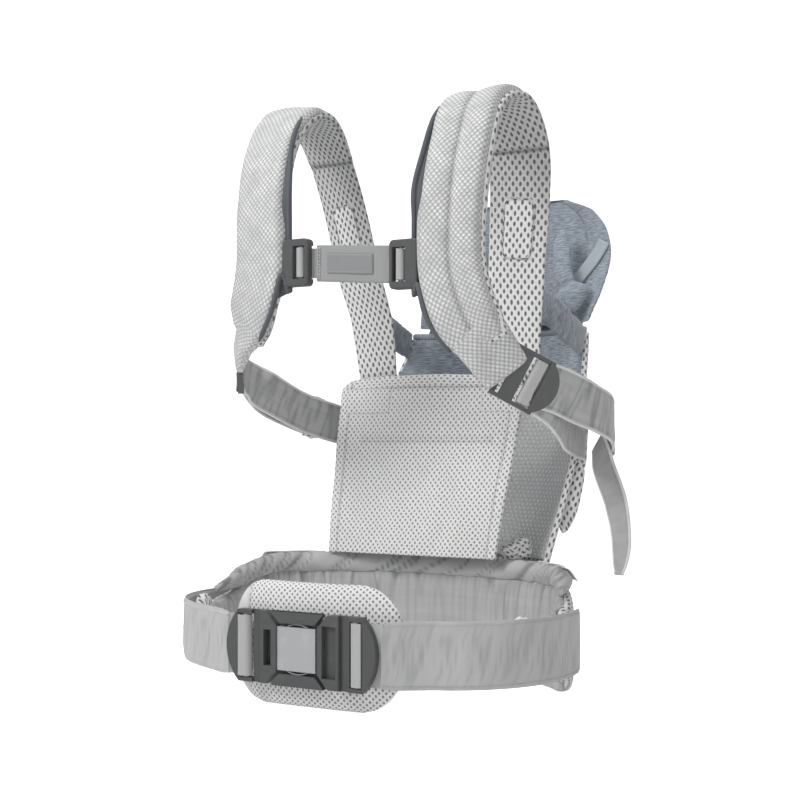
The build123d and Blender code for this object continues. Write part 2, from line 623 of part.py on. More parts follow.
# ---------------------------------------------------------------- panels
def inner_panel():
    """Mesh panel against the wearer's chest, with its top hem."""
    lean = Pos(PANEL_SHIFT, PANEL_FOOT_Y, PANEL_LOW_Z) * Rot(-PANEL_TILT, 0, 0)
    half, tall = PANEL_WIDE / 2, PANEL_TALL
    crown = ThreePointArc((half - 14, tall - 8), (-6, tall), (-half + 14, tall - 4))
    outline = make_face([
        Line((-half - 4, 0), (half - 6, 0)), Line((half - 6, 0), (half, tall - 26)),
        ThreePointArc((half, tall - 26), (half - 3, tall - 14), (half - 14, tall - 8)), crown,
        ThreePointArc((-half + 14, tall - 4), (-half + 4, tall - 9), (-half, tall - 20)),
        Line((-half, tall - 20), (-half - 4, 0)),
    ])
    save("inner_panel", lean * extrude(Plane.XZ * outline, amount=PANEL_THICK))
    hem = make_face([
        crown, Line(crown @ 1, crown @ 1 - Vector(0, 9, 0)),
        Line(crown @ 1 - Vector(0, 9, 0), crown @ 0 - Vector(0, 9, 0)),
        Line(crown @ 0 - Vector(0, 9, 0), crown @ 0)])
    save("inner_panel_hem", lean * Pos(0, -PANEL_THICK - GAP, 0) * extrude(Plane.XZ * hem, amount=HEM_THICK))


def from_band(levels):
    """Levels of a wrapped panel whose middle and side distances are given from the waist band's front."""
    return [(z, half, BAND_HALF_Y + middle, BAND_HALF_Y + side, shift) for z, half, middle, side,
        shift in levels]


FRONT_LEVELS = from_band([
    (-34, 92, 3, -10, 0), (18, 96, 8, -8, 0), (62, 104, 39, 1, 0), (105, 108, 69, 17, 2),
    (150, 110, 88, 37, 3), (205, 104, 101, 63, 5), (FRONT_TOP_Z, 94, 117, 93, 6),
])


def front_panel():
    """The panel behind the baby: mesh outside, lining inside, jersey lining and binding at the top."""
    half = FRONT_THICK / 2
    save("front_panel_mesh", wrap(FRONT_LEVELS, -half, half))
    inside = -half - GAP
    save("front_panel_lining", wrap(FRONT_LEVELS[1:6], inside - FRONT_LINING, inside, skip=1))
    jersey = [level_between(FRONT_LEVELS[5], FRONT_LEVELS[6], 0.02), FRONT_LEVELS[6]]
    save("front_panel_jersey", wrap(jersey, inside - FRONT_LINING, inside, skip=1))
    low = FRONT_TOP_Z + GAP
    top = FRONT_LEVELS[-1][1:]
    save("front_panel_binding", wrap([(low, *top), (low + 6, *top)], -half - 1, half + 1))


def level_between(low, high, share):
    """The level of a wrapped panel that lies a share of the way from one level to the next."""
    return tuple(a + (b - a) * share for a, b in zip(low, high))


def wings_and_gussets():
    """Side wings that carry the side straps, seat gussets between the panels, and plain flaps over the
    belt."""
    up = (0, 0, 1)
    wings = {
        "R": [((117, B + 46, 168), 84, up), ((122, B + 39, 164), 62, up), ((126, B + 32, 161), 42, up)],
        "L": [((-112, B + 49, 176), 84, up), ((-112, B + 39, 173), 60, up), ((-111, B + 28, 172), 42, up)],
    }
    foot = PANEL_FOOT_Y
    gussets, flaps = [], []
    for s in SIDES.values():
        gusset = [((s * 72, foot + 16, 62), 12, (0, 0, 1)), ((s * 78, foot + 28, 64), 18, (0, 0, 1)),
            ((s * 84, foot + 38, 68), 22, (0, 0, 1))]
        gussets.append(band(gusset, -6, 6))
        flap = [((s * 104, foot + 6, 57.5), 34, (s, 0.3, 0)), ((s * 106, foot + 26, 58), 26, (s, 0.2, 0))]
        flaps.append(band(flap, -0.8, 0.8))
    save("side_wings", *[band(wings[side], -1.5, 1.5) for side in SIDES])
    save("seat_gussets", *gussets)
    save("belt_flaps", *flaps)


# ---------------------------------------------------------------- head support
HEAD_LEVELS = from_band([
    (HEAD_LOW_Z, 92, 124, 101, HEAD_SHIFT - 8), (305, 98, 133, 105, HEAD_SHIFT - 2),
    (338, 103, 138, 111, HEAD_SHIFT),
    (366, 96, 139, 117, HEAD_SHIFT), (386, 78, 138, 124, HEAD_SHIFT), (HEAD_TOP_Z, 52, 137, 130, HEAD_SHIFT),
])


def head_support():
    """Padded head support: jersey shell, mesh back, side rolls and ribbons. It folds outwards over the
    front panel."""
    save("head_support_pad", wrap(HEAD_LEVELS, -HEAD_THICK / 2, HEAD_THICK / 2))
    back = HEAD_THICK / 2 + GAP
    save("head_support_mesh", wrap(HEAD_LEVELS, back, back + HEAD_SKIN))
    rolls = []
    for s in SIDES.values():
        x = HEAD_SHIFT + s * 78
        roll = [
            ((x, B + 98.5, 300), 20, (1, 0, 0)), ((x - s * 2, B + 107, 335), 22, (1, 0, 0)),
            ((x - s * 8, B + 111.5, 360), 18, (1, 0, 0)),
        ]
        rolls.append(band(roll, -5, 5))
    save("head_side_rolls", *rolls)


def neck_straps():
    """Jersey-sleeved straps from the front panel's top corners to the shoulder straps."""
    ends = {"R": ((100, BAND_HALF_Y + 83, 256), (92, STRAP_FRONT_Y + 16, 292)),
        "L": ((-90, BAND_HALF_Y + 83, 258), (-80, STRAP_FRONT_Y + 16, 302))}
    straps = []
    for side, (panel, strap) in ends.items():
        mid = tuple((a + b) / 2 for a, b in zip(panel, strap))
        mid = (mid[0] + SIDES[side] * 6, mid[1], mid[2] - 5)
        run = [(panel, 26, (0, 0.3, 1)), (mid, 30, (0, 0.3, 1)), (strap, 26, (0, 0.3, 1))]
        straps.append(band(run, -3, 3))
    save("neck_straps", *straps)


def main():
    os.makedirs("parts", exist_ok=True)
    padded_belt()
    waist_bands()
    buckle_pad()
    waist_buckle()
    shoulder_straps()
    strap_rails()
    chest_strap()
    shoulder_buckles()
    side_straps()
    keepers()
    inner_panel()
    front_panel()
    wings_and_gussets()
    head_support()
    neck_straps()


if __name__ == "__main__":
    main()
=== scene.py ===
"""A soft baby carrier: fabric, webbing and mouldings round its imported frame, in metres, with +Z up."""

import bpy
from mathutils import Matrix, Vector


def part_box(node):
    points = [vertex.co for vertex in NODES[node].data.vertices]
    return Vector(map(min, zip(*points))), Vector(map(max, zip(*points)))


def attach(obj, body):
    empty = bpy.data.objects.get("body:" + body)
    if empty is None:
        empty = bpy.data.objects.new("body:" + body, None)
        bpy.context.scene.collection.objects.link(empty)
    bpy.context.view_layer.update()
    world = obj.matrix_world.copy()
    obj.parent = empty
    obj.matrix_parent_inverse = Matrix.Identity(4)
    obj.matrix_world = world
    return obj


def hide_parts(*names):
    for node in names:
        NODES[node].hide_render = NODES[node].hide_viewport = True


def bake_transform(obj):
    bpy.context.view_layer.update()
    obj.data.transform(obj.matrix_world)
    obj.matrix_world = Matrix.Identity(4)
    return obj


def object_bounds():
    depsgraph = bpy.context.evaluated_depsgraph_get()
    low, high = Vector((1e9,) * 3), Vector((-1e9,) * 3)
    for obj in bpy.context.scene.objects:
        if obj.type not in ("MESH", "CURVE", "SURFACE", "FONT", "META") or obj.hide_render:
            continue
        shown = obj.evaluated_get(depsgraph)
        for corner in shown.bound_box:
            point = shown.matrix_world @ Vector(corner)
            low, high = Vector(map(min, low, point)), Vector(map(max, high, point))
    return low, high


bl_info = {
    "name": "Soft Baby Carrier",
    "version": (1, 0, 0),
    "blender": (4, 5, 0),
    "location": "View3D > Sidebar > Carrier",
    "description": "Sews the carrier's fabric pieces and finishes its buckles round the packed frame",
    "category": "Object",
}

from bisect import bisect_right
from math import copysign, cos, exp, pi, radians, sin, sqrt

import bmesh
import bpy
from bpy.props import FloatProperty, FloatVectorProperty, IntProperty, PointerProperty
from mathutils import Matrix, Vector, noise

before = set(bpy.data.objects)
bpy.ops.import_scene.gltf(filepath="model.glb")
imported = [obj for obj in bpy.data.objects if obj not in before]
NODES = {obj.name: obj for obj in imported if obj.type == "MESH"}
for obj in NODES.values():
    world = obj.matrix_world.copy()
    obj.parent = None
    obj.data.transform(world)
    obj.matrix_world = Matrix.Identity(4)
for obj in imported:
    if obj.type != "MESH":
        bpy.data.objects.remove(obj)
CAD_LOW, CAD_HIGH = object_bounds()
MM = 0.001
SIDES = {"R": 1, "L": -1}

# Sizes in millimetres, as the frame has them.
BAND_X, BAND_Y, OVAL = 176, 121, 2.3
BELT_LOW, BELT_HIGH = -48, 40
BELT_OUT, BELT_IN = 4.5, 20.5
BUCKLE_X = 9
BUCKLE_END = 71
BUCKLE_LINE_Y = -123
STRAP_X, STRAP_BACK_Y, STRAP_FRONT_Y = 94, -37, 100
CROWN = {"R": 446, "L": 454}
CHEST = {"R": 304, "L": 312}
STRAP_END = {"R": 228, "L": 247}
STRAP_FOOT = {"R": (75, 192), "L": (66, 212)}
RAIL_X, RAIL_Y, RAIL_ROUND = 61.5, -42, 2.2


# ---------------------------------------------------------------- sizes and colours a user may change
def shade(name, red, green, blue, about):
    """A colour property whose default is given on the 0 to 255 screen scale."""
    linear = [((c / 255 + 0.055) / 1.055) ** 2.4 for c in (red, green, blue)]
    return FloatVectorProperty(name=name, description=about, default=(*linear, 1), size=4, min=0, max=1,
        subtype="COLOR")


def length(name, millimetres, about):
    return FloatProperty(name=name, description=about, default=millimetres * MM, min=0.0001, max=0.2,
        unit="LENGTH")


class CarrierColours(bpy.types.PropertyGroup):
    """Colours of the carrier's cloths and mouldings."""

    mesh: shade("Mesh", 244, 244, 243, "Light spacer mesh")
    # The hole colours are painted shade inside the holes of the mesh and of the fine panel mesh.
    mesh_hole: shade("Mesh holes", 88, 90, 92, "Inside of the mesh's holes")
    panel_hole: shade("Panel holes", 138, 139, 141, "Inside of the fine panel mesh's holes")
    # Painted shade: a darker copy of the mesh colour for the mesh inside the front panel.
    shaded_mesh: shade("Inner mesh", 214, 215, 216, "Mesh on the inside of the front panel")
    knit: shade("Knit", 246, 246, 245, "Ribbed knit on the padded straps")
    # Painted shade between the knit's grains.
    knit_gap: shade("Knit gaps", 178, 179, 180, "Between the knit's grains")
    satin: shade("Satin", 188, 188, 189, "Smooth cloth of the belt and straps")
    webbing: shade("Webbing", 160, 161, 161, "Woven webbing")
    light_webbing: shade("Light webbing", 184, 184, 184, "Webbing turned round the buckle bars")
    label: shade("Label", 148, 149, 150, "Blank woven label")
    jersey: shade("Jersey", 163, 172, 182, "Heathered jersey")
    jersey_dark: shade("Jersey shadow", 122, 131, 143, "Darker yarns of the jersey")
    ribbon: shade("Ribbon", 180, 190, 197, "Smooth ribbon on the head support")
    plastic: shade("Plastic", 78, 79, 80, "Moulded buckles and sliders")
    plastic_light: shade("Bars", 170, 171, 172, "Buckle bars and plates")
    rail: shade("Rail", 84, 88, 94, "Piped rail of the chest strap")
    thread: shade("Thread", 168, 169, 170, "Sewing thread")
    floor: shade("Floor", 250, 250, 250, "Studio floor")


class CarrierSizes(bpy.types.PropertyGroup):
    """Sizes of the cloths' detail."""

    mesh_cell: length("Mesh cell", 6.5, "Spacing of the mesh's holes across the cloth")
    panel_cell: length("Panel cell", 5.3, "Spacing of the fine panel mesh's holes")
    knit_cell: length("Knit rib", 4.6, "Spacing of the knit's ribs")
    weave: length("Webbing pick", 1.3, "Spacing of the webbing's picks")
    stitch: length("Stitch", 3.4, "Distance from one stitch to the next")
    thread: length("Thread", 0.35, "Radius of the sewing thread")
    puff: FloatProperty(name="Stuffing", description="Pressure that swells the padded pieces", default=3.0,
        min=0, max=10)
    smoothing: IntProperty(name="Smoothing", description="Subdivision levels of the cloth pieces", default=1,
        min=0, max=2)


# ---------------------------------------------------------------- material parts
def add(tree, kind, settings=None, **inputs):
    """A shader node, with its settings and its inputs, which are values or other nodes' outputs."""
    node = tree.nodes.new("ShaderNode" + kind)
    for key, value in (settings or {}).items():
        setattr(node, key, value)
    for key, value in inputs.items():
        socket = node.inputs[int(key[1:]) if key[0] == "i" and key[1:].isdigit() else key.replace("_", " ")]
        if isinstance(value, bpy.types.NodeSocket):
            tree.links.new(value, socket)
        else:
            socket.default_value = value
    return node


def new_group(name, inputs, outputs):
    """An empty node group with named sockets, its input node and its output node."""
    group = bpy.data.node_groups.new(name, "ShaderNodeTree")
    for label, kind, default in inputs:
        socket = group.interface.new_socket(name=label, in_out="INPUT", socket_type="NodeSocket" + kind)
        if default is not None:
            socket.default_value = default
    for label in outputs:
        group.interface.new_socket(name=label, in_out="OUTPUT", socket_type="NodeSocketFloat")
    return group, group.nodes.new("NodeGroupInput"), group.nodes.new("NodeGroupOutput")


def staggered_cells():
    """Rows of oval cells, every second row shifted by half a cell: a mask of the cells and their domes."""
    group, given, out = new_group(
        "Staggered Cells",
        [("Vector", "Vector", None), ("Pitch", "Vector", (0.005, 0.009, 1)),
        ("Radii", "Vector", (0.25, 0.3, 1000)),
         ("Blur", "Float", 0.3)],
        ["Mask", "Dome"])
    scaled = add(group, "VectorMath", {"operation": "DIVIDE"}, i0=given.outputs["Vector"],
        i1=given.outputs["Pitch"])
    reach = []
    for shift in (0, 0.5):
        moved = add(group, "VectorMath", {"operation": "ADD"}, i0=scaled.outputs[0], i1=(shift, shift, 0))
        part = add(group, "VectorMath", {"operation": "FRACTION"}, i0=moved.outputs[0])
        centred = add(group, "VectorMath", {"operation": "SUBTRACT"}, i0=part.outputs[0], i1=(0.5, 0.5, 0))
        sized = add(group, "VectorMath", {"operation": "DIVIDE"}, i0=centred.outputs[0],
            i1=given.outputs["Radii"])
        reach.append(add(group, "VectorMath", {"operation": "LENGTH"}, i0=sized.outputs[0]).outputs["Value"])
    nearest = add(group, "Math", {"operation": "MINIMUM"}, i0=reach[0], i1=reach[1]).outputs[0]
    low = add(group, "Math", {"operation": "SUBTRACT"}, i0=1.0, i1=given.outputs["Blur"]).outputs[0]
    high = add(group, "Math", {"operation": "ADD"}, i0=1.0, i1=given.outputs["Blur"]).outputs[0]
    mask = add(group, "MapRange", {"interpolation_type": "SMOOTHSTEP"}, Value=nearest, From_Min=low,
        From_Max=high, To_Min=1.0, To_Max=0.0)
    dome = add(group, "Math", {"operation": "SUBTRACT", "use_clamp": True}, i0=1.0, i1=nearest)
    group.links.new(mask.outputs[0], out.inputs["Mask"])
    group.links.new(dome.outputs[0], out.inputs["Dome"])
    return group


def soft_creases():
    """Long shallow creases that run along one direction of the cloth, with a finer ripple."""
    group, given, out = new_group("Soft Creases", [("Vector", "Vector", None),
        ("Stretch", "Vector", (60, 12, 30)), ("Seed", "Float", 0.0)], ["Height"])
    stretched = add(group, "VectorMath", {"operation": "MULTIPLY"}, i0=given.outputs["Vector"],
        i1=given.outputs["Stretch"])
    moved = add(group, "VectorMath", {"operation": "ADD"}, i0=stretched.outputs[0], i1=given.outputs["Seed"])
    wide = add(group, "TexNoise", {"noise_dimensions": "3D"}, Vector=moved.outputs[0], Scale=1.0, Detail=2.0,
        Roughness=0.45)
    group.links.new(wide.outputs["Fac"], out.inputs["Height"])
    return group


def handling_wear():
    """Faint scuffs and dust: a mask for lighter, rougher spots."""
    group, given, out = new_group("Handling Wear", [("Vector", "Vector", None), ("Amount", "Float", 0.3)],
        ["Scuffs", "Grain"])
    wide = add(group, "TexNoise", None, Vector=given.outputs["Vector"], Scale=55.0, Detail=5.0, Roughness=0.6)
    spots = add(group, "MapRange", {"interpolation_type": "SMOOTHSTEP"}, Value=wide.outputs["Fac"],
        From_Min=0.52, From_Max=0.75, To_Min=0.0, To_Max=given.outputs["Amount"])
    grain = add(group, "TexNoise", None, Vector=given.outputs["Vector"], Scale=2600.0, Detail=2.0,
        Roughness=0.5)
    group.links.new(spots.outputs[0], out.inputs["Scuffs"])
    group.links.new(grain.outputs["Fac"], out.inputs["Grain"])
    return group


class Finish:
    """One material being made: its tree, its Principled shader and the shared groups placed in it."""

    def __init__(self, name, roughness, sheen=0.0):
        self.material = bpy.data.materials.new("carrier_" + name)
        self.material.use_nodes = True
        self.tree = self.material.node_tree
        self.shader = self.tree.nodes["Principled BSDF"]
        self.shader.inputs["Roughness"].default_value = roughness
        self.shader.inputs["Sheen Weight"].default_value = sheen
        self.shader.inputs["Specular IOR Level"].default_value = 0.25

    def cloth(self):
        """The piece's own map, in metres along the cloth."""
        return add(self.tree, "UVMap", {"uv_map": "cloth"}).outputs[0]

    def place(self):
        return add(self.tree, "TexCoord").outputs["Object"]

    def group(self, name, **inputs):
        node = self.tree.nodes.new("ShaderNodeGroup")
        node.node_tree = bpy.data.node_groups[name]
        for key, value in inputs.items():
            if isinstance(value, bpy.types.NodeSocket):
                self.tree.links.new(value, node.inputs[key])
            else:
                node.inputs[key].default_value = value
        return node.outputs

    def math(self, operation, a, b, clamp=False):
        return add(self.tree, "Math", {"operation": operation, "use_clamp": clamp}, i0=a, i1=b).outputs[0]

    def noise(self, vector, scale, detail=2.0):
        return add(self.tree, "TexNoise", None, Vector=vector, Scale=scale, Detail=detail).outputs["Fac"]

    def mix(self, share, low, high, kind="MIX"):
        node = self.tree.nodes.new("ShaderNodeMix")
        node.data_type, node.blend_type = "RGBA", kind
        for index, value in ((0, share), (6, low), (7, high)):
            if isinstance(value, bpy.types.NodeSocket):
                self.tree.links.new(value, node.inputs[index])
            else:
                node.inputs[index].default_value = value
        return node.outputs[2]

    def shadow(self):
        """Painted shade at the seams and creases, stored on the piece's points."""
        return add(self.tree, "Attribute", {"attribute_name": "fold"}).outputs["Fac"]

    def colour(self, value, fold_shades=True):
        """The colour, a little uneven over the cloth, and darkened with painted shade in its creases and
        seams.
        """
        uneven = self.noise(self.place(), 21.0, 3.0)
        dulled = add(self.tree, "MapRange", None, Value=uneven, From_Min=0.3, From_Max=0.7, To_Min=0.0,
            To_Max=0.09).outputs[0]
        value = self.mix(dulled, value, (0.42, 0.43, 0.44, 1))
        if fold_shades:
            # Painted shade: the stored shade attribute mixes the colour towards a near-black grey.
            value = self.mix(self.shadow(), value, (0.13, 0.135, 0.14, 1))
        self.tree.links.new(value, self.shader.inputs["Base Color"])

    def bump(self, *layers):
        """Bumps of (height, distance in millimetres), the finest one last."""
        normal = None
        for height, distance in layers:
            node = add(self.tree, "Bump", None, Height=height, Distance=distance * MM, Strength=1.0)
            if normal:
                self.tree.links.new(normal, node.inputs["Normal"])
            normal = node.outputs[0]
        self.tree.links.new(normal, self.shader.inputs["Normal"])
        return self.material


def mesh_cloth(name, colour, hole, cell, shape, blur=0.35):
    """Spacer mesh with staggered oval holes between plump threads; the holes take a flat colour, painted
    shade on most meshes and painted light on the inner mesh.
    """
    finish = Finish(name, 0.9, 0.25)
    tall, wide_share, tall_share = shape
    cloth = finish.cloth()
    warp = add(finish.tree, "TexNoise", None, Vector=cloth, Scale=70.0, Detail=1.0)
    centred = add(finish.tree, "VectorMath", {"operation": "SUBTRACT"}, i0=warp.outputs["Color"],
        i1=(0.5, 0.5, 0.5))
    drift = add(finish.tree, "VectorMath", {"operation": "SCALE"}, i0=centred.outputs[0], Scale=cell * 0.3)
    wandering = add(finish.tree, "VectorMath", {"operation": "ADD"}, i0=cloth, i1=drift.outputs[0]).outputs[0]
    cells = finish.group("Staggered Cells", Vector=wandering, Pitch=(cell, cell * tall, 1),
        Radii=(wide_share, tall_share, 1000), Blur=blur)
    fibres = finish.noise(cloth, 2400.0, 3.0)
    soft = finish.mix(finish.math("MULTIPLY", fibres, 0.16), colour, (0.5, 0.5, 0.5, 1))
    # Painted light and shade: the hole colour fills the holes.
    finish.colour(finish.mix(finish.math("MULTIPLY", cells["Mask"], 0.92), soft, hole))
    hollow = finish.math("SUBTRACT", 1.0, cells["Mask"])
    return finish.bump((hollow, 1.1), (fibres, 0.25))


def knit_cloth(name, colour, gap, cell):
    """Ribbed knit: columns of plump grains over a slightly darker ground of painted shade between them."""
    finish = Finish(name, 0.85, 0.3)
    cloth = finish.cloth()
    grains = finish.group("Staggered Cells", Vector=cloth, Pitch=(cell, cell * 1.1, 1),
        Radii=(0.3, 0.27, 1000), Blur=0.6)
    fibres = finish.noise(cloth, 2600.0, 3.0)
    bold = add(finish.tree, "MapRange", None, Value=finish.noise(cloth, 60.0), From_Min=0.3, From_Max=0.7,
        To_Min=0.45, To_Max=1.0).outputs[0]
    # Painted shade: the gap colour darkens the ground between the grains.
    finish.colour(finish.mix(finish.math("MULTIPLY", grains["Mask"], bold), gap, colour))
    return finish.bump((grains["Mask"], 0.8), (fibres, 0.22))


def satin_cloth(name, colour, stretch, depth=1.2, sheen=0.35, roughness=0.5):
    """Smooth cloth with soft creases across its length, darkened with painted shade along the creases."""
    finish = Finish(name, roughness, sheen)
    cloth = finish.cloth()
    creases = finish.group("Soft Creases", Vector=cloth, Stretch=stretch, Seed=3.1)["Height"]
    threads = finish.group("Staggered Cells", Vector=cloth, Pitch=(0.0009, 0.0012, 1), Radii=(0.4, 0.4, 1000),
        Blur=0.5)["Mask"]
    # Painted shade: the crease height darkens the colour to 0.72 of itself.
    lit = add(finish.tree, "MapRange", None, Value=creases, From_Min=0.35, From_Max=0.65, To_Min=0.0,
        To_Max=0.28).outputs[0]
    finish.colour(finish.mix(lit, colour, tuple(0.72 * c for c in colour[:3]) + (1,)))
    return finish.bump((creases, depth), (threads, 0.05))


def woven(name, colour, pick, roughness=0.75):
    """Webbing: ribs of crossing yarns with fuzzy edges and painted shade between the yarns."""
    finish = Finish(name, roughness, 0.25)
    cloth = finish.place()
    turned = add(finish.tree, "Mapping", None, Vector=cloth, Rotation=(radians(90), 0, 0)).outputs[0]
    yarns = finish.group("Staggered Cells", Vector=turned, Pitch=(pick, pick * 1.6, 1000),
        Radii=(0.42, 0.4, 1000), Blur=0.4)["Mask"]
    fibres = finish.noise(cloth, 3000.0, 3.0)
    # Painted shade: the colour drops to 0.72 of itself between the yarns.
    finish.colour(finish.mix(yarns, tuple(0.72 * c for c in colour[:3]) + (1,), colour))
    return finish.bump((yarns, 0.3), (fibres, 0.12))


def sewn_webbing(name, colour, pick):
    """Webbing that follows the piece's own map, with painted shade between the yarns."""
    finish = Finish(name, 0.75, 0.25)
    cloth = finish.cloth()
    yarns = finish.group("Staggered Cells", Vector=cloth, Pitch=(pick, pick * 1.5, 1),
        Radii=(0.42, 0.4, 1000), Blur=0.4)["Mask"]
    fibres = finish.noise(cloth, 3000.0, 3.0)
    # Painted shade: the colour drops to 0.8 of itself between the yarns.
    finish.colour(finish.mix(yarns, tuple(0.8 * c for c in colour[:3]) + (1,), colour))
    return finish.bump((yarns, 0.28), (fibres, 0.12))


def jersey_cloth(name, colour, dark):
    """Heathered jersey: fine short streaks of two yarns and a faint rib."""
    finish = Finish(name, 0.9, 0.45)
    cloth = finish.cloth()
    streaks = add(finish.tree, "VectorMath", {"operation": "MULTIPLY"}, i0=cloth, i1=(130, 900, 1)).outputs[0]
    yarns = finish.noise(streaks, 1.0, 3.0)
    sharp = add(finish.tree, "MapRange", None, Value=yarns, From_Min=0.4, From_Max=0.6, To_Min=0.0,
        To_Max=1.0).outputs[0]
    loops = finish.group("Staggered Cells", Vector=cloth, Pitch=(0.0016, 0.0021, 1), Radii=(0.4, 0.42, 1000),
        Blur=0.5)["Mask"]
    soft = finish.noise(cloth, 38.0, 3.0)
    finish.colour(finish.mix(sharp, dark, colour))
    return finish.bump((soft, 1.6), (loops, 0.18), (yarns, 0.08))


def moulded(name, colour, roughness, wear=0.3):
    """Moulded plastic with a fine grain, faint scuffs and a slightly uneven gloss."""
    finish = Finish(name, roughness)
    finish.shader.inputs["Specular IOR Level"].default_value = 0.5
    wearing = finish.group("Handling Wear", Vector=finish.place(), Amount=wear)
    uneven = finish.mix(wearing["Scuffs"], colour, tuple(min(1, 1.7 * c) for c in colour[:3]) + (1,))
    finish.tree.links.new(uneven, finish.shader.inputs["Base Color"])
    rough = add(finish.tree, "MapRange", None, Value=wearing["Grain"], From_Min=0.3, From_Max=0.7,
        To_Min=roughness - 0.07, To_Max=roughness + 0.12)
    finish.tree.links.new(rough.outputs[0], finish.shader.inputs["Roughness"])
    return finish.bump((wearing["Grain"], 0.06))


def rail_cloth(name, colour):
    """Three-ply piping: long cords side by side, with painted shade between the cords."""
    finish = Finish(name, 0.6, 0.2)
    cloth = finish.cloth()
    twist = finish.group("Staggered Cells", Vector=cloth, Pitch=(0.0022, 0.0016, 1), Radii=(0.44, 0.42, 1000),
        Blur=0.4)["Mask"]
    # Painted shade: the colour drops to 0.6 of itself between the cords.
    finish.colour(finish.mix(twist, tuple(0.6 * c for c in colour[:3]) + (1,), colour))
    return finish.bump((twist, 0.3))


def make_materials():
    """All of the carrier's finishes, by the name that the pieces use."""
    colours, sizes = bpy.context.scene.carrier_colours, bpy.context.scene.carrier_sizes
    staggered_cells()
    soft_creases()
    handling_wear()
    c = {key: tuple(getattr(colours, key)) for key in CarrierColours.__annotations__}
    mesh_cloth("spacer_mesh", c["mesh"], c["mesh_hole"], sizes.mesh_cell, (1.45, 0.16, 0.21))
    mesh_cloth("panel_mesh", c["mesh"], c["panel_hole"], sizes.panel_cell, (1.1, 0.15, 0.18))
    # Painted shade and light: the inner mesh is a shaded copy of the mesh, its holes painted white for light
    # seen through them.
    mesh_cloth("inner_mesh", c["shaded_mesh"], (1, 1, 1, 1), sizes.mesh_cell, (1.3, 0.17, 0.2))
    knit_cloth("rib_knit", c["knit"], c["knit_gap"], sizes.knit_cell)
    satin_cloth("satin", c["satin"], (14, 55, 1))
    satin_cloth("gathered_satin", c["satin"], (150, 9, 1), 1.6)
    satin_cloth("plain_flap", tuple(0.86 * v for v in c["mesh"][:3]) + (1,), (40, 60, 1), 0.6)
    woven("webbing", c["light_webbing"], sizes.weave)
    sewn_webbing("sewn_webbing", c["webbing"], sizes.weave)
    sewn_webbing("label", c["label"], sizes.weave * 0.6)
    jersey_cloth("jersey", c["jersey"], c["jersey_dark"])
    satin_cloth("ribbon", c["ribbon"], (300, 30, 1), 0.3)
    moulded("buckle_plastic", c["plastic"], 0.42)
    moulded("bar_plastic", c["plastic_light"], 0.36, 0.2)
    rail_cloth("rail_cord", c["rail"])
    satin_cloth("thread", c["thread"], (30, 30, 1), 0.05)


# ---------------------------------------------------------------- sewing helpers
def soft(value):
    """0 to 1 with a smooth start and end."""
    value = min(1, max(0, value))
    return value * value * (3 - 2 * value)


def hill(value, middle, width):
    return exp(-(((value - middle) / width) ** 2))


def rounded(turn, power=3.5):
    """A point round a softened rectangle, each way from -1 to 1, starting at its +X edge."""
    c, s = cos(2 * pi * turn), sin(2 * pi * turn)
    return copysign(abs(c) ** (2 / power), c), copysign(abs(s) ** (2 / power), s)


def ripple(x, y, seed=0.0):
    return noise.noise(Vector((x, y, seed)))


def crease(height, thin=0.13):
    """How far a ripple's height lies in one of its thin folds, from 0 to 1."""
    return hill(height, -0.12, thin)


class Route:
    """A strap's way through space, from its stations of (point, width, across), with evenly spaced places
    between."""

    def __init__(self, stations, samples=240):
        points = [Vector(p) for p, _, _ in stations]
        widths = [w for _, w, _ in stations]
        across = [Vector(a).normalized() for _, _, a in stations]
        spans = len(stations) - 1
        each = max(4, samples // spans)
        self.points, self.widths, self.across, marks = [], [], [], []
        for i in range(spans):
            marks.append(len(self.points))
            before, after = points[max(i - 1, 0)], points[min(i + 2, spans)]
            for k in range(each + (i == spans - 1)):
                t = k / each
                a, b = points[i], points[i + 1]
                curve = 0.5 * (2 * a + (b - before) * t + (2 * before - 5 * a + 4 * b - after) * t * t
                               + (3 * a - before - 3 * b + after) * t ** 3)
                self.points.append(curve)
                self.widths.append(widths[i] + (widths[i + 1] - widths[i]) * soft(t))
                self.across.append(across[i].lerp(across[i + 1], soft(t)))
        marks.append(len(self.points) - 1)
        self.run = [0.0]
        for a, b in zip(self.points, self.points[1:]):
            self.run.append(self.run[-1] + (b - a).length)
        self.long = self.run[-1]
        self.share_of = [self.run[m] / self.long for m in marks]

    def at(self, share):
        """(point, across, outwards, half width) at a share of the length."""
        want = min(max(share, 0), 1) * self.long
        i = min(max(bisect_right(self.run, want) - 1, 0), len(self.points) - 2)
        t = (want - self.run[i]) / max(self.run[i + 1] - self.run[i], 1e-6)
        point = self.points[i].lerp(self.points[i + 1], t)
        low, high = max(i - 3, 0), min(i + 4, len(self.points) - 1)
        along = (self.points[high] - self.points[low]).normalized()
        across = self.across[i].lerp(self.across[i + 1], t)
        across = (across - along * across.dot(along)).normalized()
        return point, across, across.cross(along), (self.widths[i]
            + (self.widths[i + 1] - self.widths[i]) * t) / 2

    def spot(self, share, side, off=0.0):
        """A point beside the route: side from -1 to 1 across it, and off millimetres outwards."""
        point, across, out, half = self.at(share)
        return point + across * (side * half) + out * off


